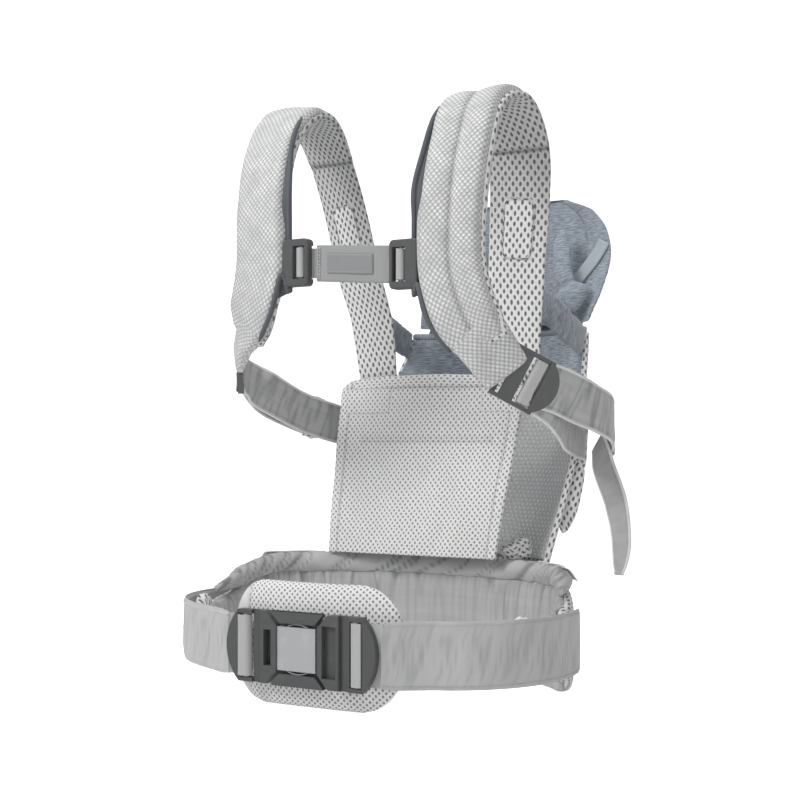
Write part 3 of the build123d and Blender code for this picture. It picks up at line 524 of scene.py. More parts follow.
def add_cloth(bm, columns, rows, place, wrap=False, caps=True, material=0, fold=None):
    """A grid of cloth shaped by place(u, v), in millimetres; wrap closes it round u, and caps closes its
    two ends.

    Its map is in metres over the cloth, by its true lengths. Its last argument, a function of (u, v), gives
    the painted shade at seams and creases.
    """
    layer = bm.loops.layers.uv.get("cloth") or bm.loops.layers.uv.new("cloth")
    fold_shades = bm.verts.layers.float.get("fold") or bm.verts.layers.float.new("fold")
    grid = [[Vector(place(i / columns, j / rows)) for i in range(columns + 1)] for j in range(rows + 1)]
    across = []
    for line in grid:
        run = [0.0]
        for a, b in zip(line, line[1:]):
            run.append(run[-1] + (b - a).length)
        across.append([x - run[-1] / 2 for x in run])
    along = [0.0]
    for line, ahead in zip(grid, grid[1:]):
        along.append(along[-1] + sum((b - a).length for a, b in zip(line, ahead)) / len(line))
    made = [[bm.verts.new(point) for point in line[:columns + (not wrap)]] for line in grid]
    for j, line in enumerate(made):
        for i, vert in enumerate(line):
            vert[fold_shades] = fold(i / columns, j / rows) if fold else 0.0
    for j in range(rows):
        for i in range(columns):
            corners = [(i, j), (i + 1, j), (i + 1, j + 1), (i, j + 1)]
            face = bm.faces.new([made[y][x % columns if wrap else x] for x, y in corners])
            face.material_index = material
            face.smooth = True
            for loop, (x, y) in zip(face.loops, corners):
                loop[layer].uv = (across[y][x] * MM, along[y] * MM)
    if wrap and caps:
        for line in (made[0], made[-1]):
            hub = bm.verts.new(sum((vert.co for vert in line), Vector()) / columns)
            for i in range(columns):
                face = bm.faces.new((line[i], line[(i + 1) % columns], hub))
                face.material_index = material
                face.smooth = True
                for loop in face.loops:
                    loop[layer].uv = ((loop.vert.co.x + loop.vert.co.y) * MM, loop.vert.co.z * MM)
    return [vert for line in made for vert in line]


def add_tube(bm, spine, radius, rows, columns=8, material=0, fold=None):
    """A cord along spine(v), which gives (point, one direction square to it, the other direction)."""

    def place(u, v):
        point, a, b = spine(v)
        size = radius(v) if callable(radius) else radius
        return point + a * (size * cos(2 * pi * u)) + b * (size * sin(2 * pi * u))

    return add_cloth(bm, columns, rows, place, wrap=True, material=material, fold=fold)


def add_stitches(bm, spots, radius, material=0):
    """Sewing stitches: small plump beads of thread, each laid from one spot to the next but one."""
    for start, end in spots:
        along = end - start
        turn = along.to_track_quat("X", "Z").to_matrix().to_4x4()
        size = Matrix.Diagonal((along.length * 0.42, radius, radius * 0.8, 1))
        bead = bmesh.ops.create_icosphere(bm, subdivisions=1, radius=1,
            matrix=Matrix.Translation((start + end) / 2) @ turn @ size)
        for vert in bead["verts"]:
            for face in vert.link_faces:
                face.material_index = material
                face.smooth = True


def seam_spots(line, long, pitch):
    """Pairs of points for the stitches along line(share), a seam of that length."""
    count = max(2, int(long / pitch))
    return [(Vector(line((i + 0.14) / count)), Vector(line((i + 0.86) / count))) for i in range(count)]


def sew(name, bm, materials, body, replaces=(), thick=0.0, smooth=True, outward=False):
    """The finished piece from its bmesh: in metres, with its materials, riding on its body."""
    if outward:
        bmesh.ops.recalc_face_normals(bm, faces=bm.faces)
    bmesh.ops.scale(bm, vec=(MM, MM, MM), verts=bm.verts)
    mesh = bpy.data.meshes.new(name)
    bm.to_mesh(mesh)
    bm.free()
    piece = bpy.data.objects.new(name, mesh)
    bpy.context.scene.collection.objects.link(piece)
    for material in materials:
        mesh.materials.append(bpy.data.materials["carrier_" + material])
    piece["flat_area"] = sum(face.area for face in mesh.polygons)
    if thick:
        wall = piece.modifiers.new("Thickness", "SOLIDIFY")
        wall.thickness, wall.offset, wall.use_even_offset = thick * MM, 0, True
    if smooth:
        levels = bpy.context.scene.carrier_sizes.smoothing
        finer = piece.modifiers.new("Smoothing", "SUBSURF")
        finer.levels = finer.render_levels = levels
    if body:
        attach(piece, body)
    if replaces:
        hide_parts(*replaces)
    return piece


def puff(piece, held, cap, pressure=None, steps=14):
    """Swells a padded piece by cloth simulation; held(point) marks the seams that stay, and cap is the
    most that a point moves."""
    scene = bpy.context.scene
    before = [v.co.copy() for v in piece.data.vertices]
    others = list(piece.modifiers)
    for modifier in others:
        modifier.show_viewport = False
    pins = piece.vertex_groups.new(name="seams")
    for index, point in enumerate(before):
        hold = held(point / MM)
        if hold > 0:
            pins.add([index], hold, "REPLACE")
    cloth = piece.modifiers.new("Cloth", "CLOTH")
    settings = cloth.settings
    settings.quality = 6
    settings.mass = 0.2
    settings.tension_stiffness = settings.compression_stiffness = 12
    settings.bending_stiffness = 0.6
    settings.use_pressure = True
    settings.uniform_pressure_force = pressure or scene.carrier_sizes.puff
    settings.vertex_group_mass = "seams"
    settings.effector_weights.gravity = 0
    cloth.point_cache.frame_start, cloth.point_cache.frame_end = 1, steps
    for step in range(1, steps + 1):
        scene.frame_set(step)
    moved = piece.evaluated_get(bpy.context.evaluated_depsgraph_get()).to_mesh()
    if len(moved.vertices) != len(before):
        raise RuntimeError(f"{piece.name}: the simulation changed its points")
    for vert, old, new in zip(piece.data.vertices, before, [v.co.copy() for v in moved.vertices]):
        step = new - old
        if step.length > cap * MM:
            step = step.normalized() * cap * MM
        vert.co = old + step
    piece.evaluated_get(bpy.context.evaluated_depsgraph_get()).to_mesh_clear()
    piece.modifiers.remove(cloth)
    piece.vertex_groups.remove(pins)
    scene.frame_set(1)
    for modifier in others:
        modifier.show_viewport = True


class CarrierOperator(bpy.types.Operator):
    """What the carrier's operators share."""

    bl_options = {"REGISTER", "UNDO"}

    def execute(self, context):
        self.make(context.scene.carrier_sizes)
        return {"FINISHED"}


# ---------------------------------------------------------------- stage and moulded pieces
class CARRIER_OT_stage(CarrierOperator):
    """Lays a pale floor and backdrop, plain soft studio lights and the camera"""

    bl_idname = "carrier.stage"
    bl_label = "Stage"

    def make(self, sizes):
        scene = bpy.context.scene
        ground = CAD_LOW[2] - 0.0015
        bm = bmesh.new()
        bmesh.ops.create_grid(bm, x_segments=8, y_segments=24, size=1)
        for vert in bm.verts:
            x, y = vert.co.x * 6, vert.co.y * 6
            climb = max(0.0, y - 1.8)
            vert.co = (x, min(y, 3.2), ground + (climb * climb * 0.9 if climb < 1.4 else 1.764
                + (climb - 1.4) * 1.5))
        turn = Matrix.Rotation(radians(31), 3, "Z")
        bmesh.ops.rotate(bm, verts=bm.verts, cent=(0, 0, 0), matrix=turn)
        mesh = bpy.data.meshes.new("floor")
        bm.to_mesh(mesh)
        bm.free()
        floor = bpy.data.objects.new("floor", mesh)
        scene.collection.objects.link(floor)
        for face in mesh.polygons:
            face.use_smooth = True
        finish = Finish("studio_floor", 0.95)
        uneven = finish.noise(finish.place(), 3.0)
        near = tuple(scene.carrier_colours.floor)
        finish.tree.links.new(finish.mix(finish.math("MULTIPLY", uneven, 0.03), near, (0.9, 0.9, 0.9, 1)),
            finish.shader.inputs["Base Color"])
        finish.shader.inputs["Emission Color"].default_value = (1, 1, 1, 1)
        seen = add(finish.tree, "LightPath").outputs["Is Camera Ray"]
        finish.tree.links.new(finish.math("MULTIPLY", seen, 0.85), finish.shader.inputs["Emission Strength"])
        mesh.materials.append(finish.material)

        world = bpy.data.worlds.new("studio")
        world.use_nodes = True
        background = world.node_tree.nodes["Background"]
        background.inputs["Color"].default_value = (1, 1, 1, 1)
        seen = add(world.node_tree, "LightPath").outputs["Is Camera Ray"]
        glow = add(world.node_tree, "MapRange", None, Value=seen, To_Min=0.2, To_Max=1.0)
        world.node_tree.links.new(glow.outputs[0], background.inputs["Strength"])
        scene.world = world
        for name, spot, aim, size, power in (
            ("key", (-0.9, -1.5, 1.5), (0, 0, 0.2), 0.8, 27),
            ("fill", (1.5, -1.2, 0.5), (0, 0, 0.2), 1.2, 8),
            ("top", (0.0, -0.2, 1.9), (0, 0, 0.1), 0.7, 12),
            ("back", (0.9, 1.6, 1.0), (0, 0.1, 0.3), 1.0, 2.5),
        ):
            light = bpy.data.lights.new(name, "AREA")
            light.size, light.energy = size, power
            lamp = bpy.data.objects.new(name, light)
            lamp.location = spot
            lamp.rotation_euler = (Vector(spot) - Vector(aim)).to_track_quat("Z", "Y").to_euler()
            scene.collection.objects.link(lamp)
        scene.view_settings.view_transform = "Standard"

        camera = bpy.data.cameras.new("camera")
        camera.lens, camera.sensor_width, camera.shift_y = 61.9, 36, 0.05
        camera.clip_start, camera.clip_end = 0.05, 30
        eye = bpy.data.objects.new("camera", camera)
        eye.location = (0.622, -0.997, 0.162)
        eye.rotation_euler = (radians(90), 0, radians(31))
        scene.collection.objects.link(eye)
        scene.camera = eye


class CARRIER_OT_mouldings(CarrierOperator):
    """Gives the moulded buckles, sliders, bars and springs, and the webbing turned on them, their finishes"""

    bl_idname = "carrier.mouldings"
    bl_label = "Buckles and bars"

    def make(self, sizes):
        wanted = {
            "buckle_plastic": ["waist_buckle_socket", "waist_buckle_tongue", "waist_button_top",
            "waist_button_bottom",
                               "shoulder_buckle_L", "shoulder_buckle_R", "chest_slider_L", "chest_slider_R"],
            "bar_plastic": ["waist_buckle_middle_plate", "waist_buckle_bar_L", "waist_buckle_bar_R",
            "shoulder_buckle_bar_L",
                            "shoulder_buckle_bar_R", "chest_bars", "waist_button_spring_top",
                            "waist_button_spring_bottom"],
            "webbing": ["waist_webbing_L", "waist_webbing_R", "shoulder_webbing_L", "shoulder_webbing_R",
            "chest_webbing"],
        }
        for material, nodes in wanted.items():
            for node in nodes:
                mesh = NODES[node].data
                mesh.materials.clear()
                mesh.materials.append(bpy.data.materials["carrier_" + material])


# ---------------------------------------------------------------- waist belt
def loop_spot(angle, inset, z):
    """A point of the waist loop, inset millimetres in from the band's middle, at an angle in degrees from
    +X."""
    c, s = cos(radians(angle)), sin(radians(angle))
    x = (BAND_X - inset) * copysign(abs(c) ** (2 / OVAL), c)
    y = (BAND_Y - inset) * copysign(abs(s) ** (2 / OVAL), s)
    return Vector((x, y, z))


def belt_dip(angle):
    """How far the belt's top edge drops towards its two ends, at an angle in degrees round the waist."""
    return 25 * (1 - soft((min(angle, 180 - angle) + 14) / 46))


class CARRIER_OT_waist_belt(CarrierOperator):
    """Sews the padded waist belt: mesh outside, gathered lining inside, the satin roll on top and the mesh
    ends"""

    bl_idname = "carrier.waist_belt"
    bl_label = "Waist belt"

    def make(self, sizes):
        first, last = -14, 194
        middle, half_thick = (BELT_OUT + BELT_IN) / 2, (BELT_IN - BELT_OUT) / 2

        def half_section(side):
            def place(u, v):
                angle = first + (last - first) * v
                turn = -pi / 2 + pi * u
                bulge = copysign(abs(cos(turn)) ** 0.5, 1) * half_thick
                low, high = BELT_LOW + 1.15 * belt_dip(angle), BELT_HIGH - belt_dip(angle)
                z = (low + high) / 2 + (high - low) / 2 * copysign(abs(sin(turn)) ** 0.75, sin(turn))
                narrow = 1 - 0.35 * (hill(v, 0, 0.012) + hill(v, 1, 0.012))
                gather = 0.0
                if side > 0:
                    gather = (1.7 * ripple(v * 95, u * 1.6, 4) + 1.4 * ripple(v * 38, u * 1.1, 9)) * (0.35
                        + 0.65 * u)
                return loop_spot(angle, middle + side * (bulge * narrow + gather), z)
            return place

        # Painted shade in the creases of the gathered lining.
        def gathers(u, v):
            return (0.55 * crease(ripple(v * 30, u * 0.9, 9), 0.06)
                + 0.25 * crease(ripple(v * 95, u * 1.2, 4), 0.14)) * (0.35 + 0.65 * u)

        bm = bmesh.new()
        add_cloth(bm, 14, 150, half_section(-1))
        outer = sew("belt_outer_mesh", bm, ["spacer_mesh"], "carrier", ["belt_mesh_cover"], thick=1.2)
        bm = bmesh.new()
        add_cloth(bm, 20, 420, half_section(1), fold=gathers)
        lining = sew("belt_lining_cloth", bm, ["gathered_satin"], "carrier",
            ["belt_lining", "belt_foam"], thick=1.0, smooth=False)

        def creases(side, up, v):
            """Slanting creases across the roll."""
            return ripple(v * 44 + 0.8 * side + 1.2 * up, 0.35 * side, 7)

        low, tall = BELT_HIGH - 2.5, 19
        inset, deep = 13.6, 8.4

        def roll(u, v):
            angle = 11 + (186 - 11) * v
            side, up = rounded(u, 2.05)
            swell = creases(side, up, v) * 1.5 + ripple(v * 22 - side, up,
                3) * 1.3 - 0.7 * crease(creases(side, up, v))
            ends = 0.35 + 0.65 * soft(min(v, 1 - v) / 0.09)
            rise = low - 0.85 * belt_dip(angle) + tall / 2
            return loop_spot(angle, inset + side * (deep + swell) * ends,
                rise + up * (tall / 2 + 0.6 * swell) * ends)

        # Painted shade in the roll's slanting creases.
        def roll_folds(u, v):
            return 0.75 * crease(creases(*rounded(u, 2.05), v), 0.1)

        bm = bmesh.new()
        add_cloth(bm, 18, 330, roll, wrap=True, fold=roll_folds)
        padded = sew("belt_roll", bm, ["satin"], "carrier", ["belt_top_roll"], outward=True,
            smooth=False)
        puff(padded, lambda p: 1.0 if p.z < low + 2 else 0.0, 1.6, 1.0, 8)

        bm = bmesh.new()
        for start, end in ((first - 0.4, first - 8.5), (last + 0.4, last + 8.5)):
            def tip(u, v, start=start, end=end):
                side, up = rounded(u, 3)
                close = sqrt(max(0.04, 1 - (2 * v - 1) ** 4))
                return loop_spot(start + (end - start) * v, 12.5 + side * 7.6 * close, 2 + up * 24 * close)
            add_cloth(bm, 40, 12, tip, wrap=True)
        ends = sew("belt_end_pads", bm, ["spacer_mesh"], "carrier", ["belt_end_mesh"], outward=True)


class CARRIER_OT_waist_bands(CarrierOperator):
    """Sews the satin bands from the padded belt's ends round to the buckle; the right one rides on no body"""

    bl_idname = "carrier.waist_bands"
    bl_label = "Waist bands"

    def make(self, sizes):
        for side, sign in SIDES.items():
            stations = []
            for i in range(10):
                below = -12 + 67 * i / 9
                spot = loop_spot(-below if sign > 0 else 180 + below, 0, 0)
                stations.append((spot, 52, (0, 0, 1)))
            stations.append((Vector((BUCKLE_X + sign * BUCKLE_END, BUCKLE_LINE_Y, 0)), 52, (0, 0, 1)))
            route = Route(stations)

            def place(u, v, route=route, sign=sign):
                point, across, out, half = route.at(v)
                c, s = rounded(u, 5)
                near = soft((v - 0.05) / 0.2) * soft((0.99 - v) / 0.12)
                slack = ripple(v * 24 + c * 1.3 * sign, c * 0.7, 11) * 1.8 + ripple(v * 9, c, 2) * 0.9
                narrow = 1 - 0.06 * soft((v - 0.93) / 0.07)
                edge = 1 - 0.5 * (abs(c) > 0.93)
                return point + across * (half * c * narrow) + out * (s * 1.5 * edge
                    + slack * near * (1 - c * c))

            # Painted shade in the band's creases and along its edges.
            def fold_shades(u, v, sign=sign):
                c, _ = rounded(u, 5)
                return 0.34 * crease(ripple(v * 24 + c * 1.3 * sign, c * 0.5, 11),
                    0.1) * (1 - c * c) + 0.14 * hill(abs(c), 0.9, 0.03)

            bm = bmesh.new()
            add_cloth(bm, 44, 230, place, wrap=True, fold=fold_shades)
            if side == "R":
                for edge in (0.88, -0.88):
                    for face in (1.75, -1.75):
                        add_stitches(bm, seam_spots(lambda t, e=edge,
                            f=face: route.spot(0.02 + 0.96 * t, e, f), route.long * 0.96, sizes.stitch / MM),
                            sizes.thread / MM, 1)
            else:
                def hem(v, route=route):
                    point, across, out, half = route.at(v)
                    return point + across * (half * 0.86), across, out
                add_tube(bm, hem, lambda v: 1.9, 100, 8, 0)
            band = sew(f"band_{side}", bm, ["satin", "thread"], None if side == "R" else "carrier",
                [f"waist_band_{side}"],
                       smooth=False)
            if side == "R":
                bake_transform(band)


class CARRIER_OT_buckle_pad(CarrierOperator):
    """Sews the rounded pad behind the waist buckle, with its plain strip and its seam"""

    bl_idname = "carrier.buckle_pad"
    bl_label = "Buckle pad"

    def make(self, sizes):
        half_x, half_z, corner, mid_x, mid_z = 79, 50, 38, BUCKLE_X + 1, 2
        face_inset, back_inset = 4.4, 12.4
        seam_x = mid_x - half_x + 18

        def half_at(z):
            over = max(0.0, abs(z) - (half_z - corner))
            return half_x - corner + sqrt(max(0.0, corner ** 2 - over ** 2))

        def pad_point(u, v, face):
            z = (2 * v - 1) * half_z
            z = z if abs(z) < half_z - 0.01 else copysign(half_z - 0.01, z)
            x = (2 * u - 1) * half_at(z)
            swell = (1 - abs(2 * u - 1) ** 3.2) * (1 - abs(2 * v - 1) ** 3.2)
            middle = (face_inset + back_inset) / 2
            level = 4.6 * swell ** 0.55 - 1.5 * hill(x, seam_x - mid_x, 1.6) * (swell > 0.02)
            level += 0.7 * swell * ripple(u * 7, v * 5, 2)
            inset = middle - face * level
            angle_x = (x + mid_x)
            y = -(BAND_Y - inset) * (1 - min(0.98, abs(angle_x) / (BAND_X - inset)) ** OVAL) ** (1 / OVAL)
            return Vector((angle_x, y, z + mid_z))

        # Painted shade along the pad's seam.
        def fold(u, v):
            x = (2 * u - 1) * half_at((2 * v - 1) * half_z * 0.999)
            return 0.5 * hill(x, seam_x - mid_x, 1.1)

        bm = bmesh.new()
        made = []
        for face in (1, -1):
            made += add_cloth(bm, 60, 40, lambda u, v, f=face: pad_point(u, v, f), fold=fold)
        bmesh.ops.remove_doubles(bm, verts=made, dist=0.02)
        for piece in bm.faces:
            if piece.calc_center_median().x < seam_x:
                piece.material_index = 1
        pad = sew("buckle_pad", bm, ["panel_mesh", "plain_flap"], "carrier",
                  ["buckle_pad_mesh", "buckle_pad_foam", "buckle_pad_side_strip"], outward=True)
        puff(pad, lambda p: 1.0 if abs(p.x - seam_x) < 1.2 else 0.0, 1.4, 2.0, 10)


# ---------------------------------------------------------------- shoulder straps
def strap_stations(side):
    """Stations of a shoulder strap, from its lower end at the back, over the shoulder, to the inner panel."""
    s = SIDES[side]
    crown, end, chest = CROWN[side], STRAP_END[side], CHEST[side]
    foot_x, foot = STRAP_FOOT[side]
    x, back, front, rise = STRAP_X, STRAP_BACK_Y, STRAP_FRONT_Y, crown - chest
    rows = [
        (x + 24, back + 10, end + 8, 50, 0.3, 0.45), (x + 10, back + 1, (end + chest) / 2, 53, 0.2, 0.3),
        (x + 1, back - 1, chest, 54, 0.12, 0.06), (x + 1, back + 2, chest + 0.38 * rise, 55, 0.12, 0.02),
        (x + 2, back + 14, chest + 0.70 * rise, 55, 0.1, 0.05),
        (x, back + 34, chest + 0.92 * rise, 57, 0.1, 0.08),
        (x + 1, back + 62, crown, 57, 0.1, 0.1), (x + 3, back + 90, chest + 0.95 * rise, 56, 0.15, 0.1),
        (x + 3, front - 24, chest + 0.75 * rise, 55, 0.2, 0.08),
        (x - 3, front - 10, chest + 0.44 * rise, 54, 0.2, 0.03),
        (0.55 * x + 0.45 * foot_x - 1, front - 3, chest + 0.04 * rise, 52, 0.15, 0),
        (0.2 * x + 0.8 * foot_x, front + 6, foot + 60, 48, 0.1, 0), (foot_x, front + 10, foot, 40, 0, 0),
    ]
    return [((s * px, py, pz), w, (1, s * toe, s * roll)) for px, py, pz, w, toe, roll in rows]


STRAP_THICK = [15.8] * 5 + [14.8, 13.8, 12.3, 10.8] + [9.3] * 4


def strap_thickness(route, share):
    """The strap's whole thickness in millimetres at a share of its length; its front run is one light
    layer."""
    marks = route.share_of
    i = min(max(bisect_right(marks, share) - 1, 0), len(marks) - 2)
    t = (share - marks[i]) / (marks[i + 1] - marks[i])
    thick = STRAP_THICK[i] + (STRAP_THICK[i + 1] - STRAP_THICK[i]) * t
    seam = marks[8] - 0.01
    return thick - 4.6 * soft((share - seam) / 0.012)


class CARRIER_OT_shoulder_straps(CarrierOperator):
    """Sews both padded shoulder straps: mesh body, ribbed two-lobed cover, stitched patch and end sleeve"""

    bl_idname = "carrier.shoulder_straps"
    bl_label = "Shoulder straps"

    def make(self, sizes):
        for side, sign in SIDES.items():
            route = Route(strap_stations(side))
            cover_end = route.share_of[6] + (0.035 if side == "R" else -0.01)
            seam = route.share_of[8] - 0.004

            def body(u, v, route=route, seam=seam, cover_end=cover_end):
                point, across, out, half = route.at(v)
                thick = strap_thickness(route, v)
                c, s = rounded(u, 3.2)
                covered = soft((cover_end - v) / 0.03)
                top = thick / 2 - 3.2 * covered
                low = -thick / 2
                height = (top + low) / 2 + s * (top - low) / 2
                wave = ripple(v * 24, c * 1.6, 5) * 0.9 * soft((v - 0.05) / 0.1)
                pinch = 2.2 * hill(v, seam, 0.005) * (s < 0)
                narrow = 1 - 0.14 * hill(v, 0, 0.02)
                return point + across * (half * c * narrow) + out * (height + wave * (1 - abs(c) ** 4) * 0.7
                    + pinch * (1 - abs(c) ** 6))

            # Painted shade: along the front seam, at the strap's edges, and on the underside of the strap
            # round the crown.
            def body_fold(u, v, seam=seam):
                c, s = rounded(u, 3.2)
                under = 0.38 * soft((seam + 0.24 - v) / 0.24) * soft((v - 0.3) / 0.15) * (s < 0)
                return 0.5 * hill(v, seam, 0.0035) * (s < 0.2) + 0.2 * hill(abs(c), 1, 0.02) + under

            bm = bmesh.new()
            add_cloth(bm, 34, 230, body, wrap=True, fold=body_fold)
            straps = [f"shoulder_lining_{side}"] + (["shoulder_foam"] if side == "R" else [])
            padded = sew(f"strap_body_{side}", bm, ["spacer_mesh"], "carrier", straps, outward=True,
                smooth=False)

            def cover(u, v, route=route, end=cover_end, sign=sign):
                share = 0.004 + (end - 0.004) * v
                point, across, out, half = route.at(share)
                thick = strap_thickness(route, share)
                x = 2 * u - 1
                tongue = 1 - 0.3 * max(0.0, 1 - share / 0.05) ** 2
                lobe = max(0.0, 1 - (2 * abs(x + 0.04 * sign)
                    - 1) ** 2) ** 0.6 if sign > 0 else 0.9 * max(0.0, 1 - x * x) ** 0.5
                ease = soft((share - 0.002) / 0.04) * soft((end + 0.004 - share) / 0.02)
                hem = soft((1 - abs(x)) / 0.10)
                height = thick / 2 - 6.4 + 3.6 * hem + 4.6 * lobe * ease + 0.6 * ripple(share * 30, x * 1.5,
                    8) * hem
                lean = 0.93 if x * sign > 0 else 0.985 + 0.1 * soft((0.5 - share / end) / 0.1)
                return point + across * (half * x * lean * tongue) + out * height

            # Painted shade in the right cover's middle groove, along its hems and at its edges.
            def cover_fold(u, v, sign=sign):
                x = 2 * u - 1
                groove = 0.36 * hill(x, -0.04 * sign, 0.1) if sign > 0 else 0.0
                return groove + 0.16 * hill(abs(x), 0.86, 0.06) + 0.35 * hill(abs(x), 1, 0.03)

            bm = bmesh.new()
            add_cloth(bm, 44, 170, cover, fold=cover_fold)
            knit = sew(f"strap_cover_{side}", bm, ["rib_knit"], "carrier", [f"shoulder_cover_{side}"],
                thick=1.0)

            low, high = route.share_of[8] + 0.072, route.share_of[9] + 0.088

            def patch(u, v, route=route, low=low, high=high):
                share = low + (high - low) * v
                point, across, out, _ = route.at(share)
                x, y = 2 * u - 1, 2 * v - 1
                swell = (1 - abs(x) ** 8) * (1 - abs(y) ** 10)
                ends = 1 - 0.16 * abs(y) ** 9
                # The front run is thinner than at the seam, so the patch lies on it.
                lay = -strap_thickness(route, share) / 2 - 0.1 - 1.3 * swell ** 0.5
                return point + across * (14 * x * ends) + out * (lay + 0.5)

            # Painted shade along the patch's edges.
            def patch_fold(u, v):
                edge = max(abs(2 * u - 1), abs(2 * v - 1))
                return 0.55 * hill(edge, 0.97, 0.045)

            bm = bmesh.new()
            add_cloth(bm, 22, 40, patch, fold=patch_fold)
            def rim(v, route=route, low=low, high=high, patch=patch):
                x, y = rounded(v, 6)
                _, across, out, _ = route.at(low + (high - low) * (y + 1) / 2)
                point = patch(0.5 + 0.47 * x, 0.5 + 0.47 * y)
                return point - out * 0.3, out, (across * x + out.cross(across) * y).normalized()

            # Painted shade over the whole piped rim round the patch.
            add_tube(bm, rim, 0.75, 90, 6, fold=lambda u, v: 0.3)
            for step in (0.03, 0.055):
                def line(t, y=step, patch=patch):
                    return patch(0.28 + 0.44 * t, y)
                add_stitches(bm, seam_spots(line, 14, 2.4), sizes.thread / MM, 1)
            patch_cloth = sew(f"strap_patch_{side}", bm, ["spacer_mesh", "thread"], "carrier",
                ["strap_patches"], thick=0)

            # Sleeve from the padded end to the tab on the shoulder buckle.
            start = route.spot(0.035, 0, 0)
            ahead = TAB_AT[side]
            _, across, _, _ = route.at(0.01)
            tab = Vector(TAB_ACROSS[side])
            sleeve = Route([(start, 47, across), (start.lerp(ahead, 0.35), 47, across.lerp(tab, 0.6)),
                (start.lerp(ahead, 0.65), 45, tab),
                            (start.lerp(ahead, 1.2), 42, tab)])

            def cuff(u, v, sleeve=sleeve):
                point, across, out, half = sleeve.at(v)
                c, s = rounded(u, 4)
                thick = 8.6 - 5.0 * v
                return point + across * half * c + out * (s * thick + 0.4 * ripple(v * 9, c * 2, 3))

            bm = bmesh.new()
            add_cloth(bm, 26, 16, cuff, wrap=True)
            end_sleeve = sew(f"strap_sleeve_{side}", bm, ["rib_knit"], "carrier", ["strap_end_tabs"],
                outward=True)


TAB_AT = {"R": Vector((128.6, -17.4, 219.8)), "L": Vector((-133.0, -17.8, 240.2))}
TAB_ACROSS = {"R": (0.375, 0.281, 0.882), "L": (0.24, -0.35, -0.9)}


class CARRIER_OT_rails(CarrierOperator):
    """Sews the piped rails along the straps' inner edges, straight where the chest strap slides"""

    bl_idname = "carrier.rails"
    bl_label = "Rails"

    def make(self, sizes):
        bm = bmesh.new()
        for side, sign in SIDES.items():
            route = Route(strap_stations(side))
            low, high = CHEST[side] - 31, CHEST[side] + 68
            inner = -sign
            def share_at(z, route=route):
                """The share of the strap's back run whose height is z."""
                return min((abs(route.at(i / 400)[0].z - z), i / 400) for i in range(200))[1]

            marks = [(0.02, 1.0, 7), (0.07, 1.13, 6), (0.115, 1.13, 5.5)]
            spots = [(route.spot(share, inner * out, off), share) for share, out, off in marks]
            for z in (low + 6, (2 * low + high) / 3, (low + 2 * high) / 3, high - 6):
                spots.append((Vector((sign * RAIL_X, RAIL_Y, z)), share_at(z)))
            spots += [(route.spot(share, inner * out, off), share) for share, out, off in
                      ((route.share_of[4] - 0.012, 1.1, 6.0), (route.share_of[4] + 0.03, 1.0, 7.0),
                      (route.share_of[5] - 0.01, 0.9, 7.5))]
            spine = Route([(p, 10, (1, 0, 0)) for p, _ in spots], 200)
            shares = [share for _, share in spots]

            def cord(v, spine=spine):
                point, across, out, _ = spine.at(v)
                return point, across, out

            def thin(v):
                return RAIL_ROUND * (1 - 0.6 * (hill(v, 0, 0.015) + hill(v, 1, 0.03)))

            add_tube(bm, cord, thin, 150, 12)

            # The flat web between the round cord and the strap's own edge.
            def web(u, v, spine=spine, route=route, inner=inner, shares=shares):
                point, _, out, _ = spine.at(v)
                i = min(max(bisect_right(spine.share_of, v) - 1, 0), len(shares) - 2)
                t = (v - spine.share_of[i]) / (spine.share_of[i + 1] - spine.share_of[i])
                edge = route.spot(shares[i] + (shares[i + 1] - shares[i]) * t, inner * 0.9, 4.2)
                ridge = 0.8 * (hill(u, 0.55, 0.12) + hill(u, 0.9, 0.1))
                slides = 1 - soft((v - 0.25) / 0.04) * soft((0.78 - v) / 0.04) * 0.75
                return point.lerp(edge, u) + out * (ridge * slides)

            add_cloth(bm, 10, 150, web)
        sew("chest_rails", bm, ["rail_cord"], "carrier", ["strap_rails"], smooth=False)


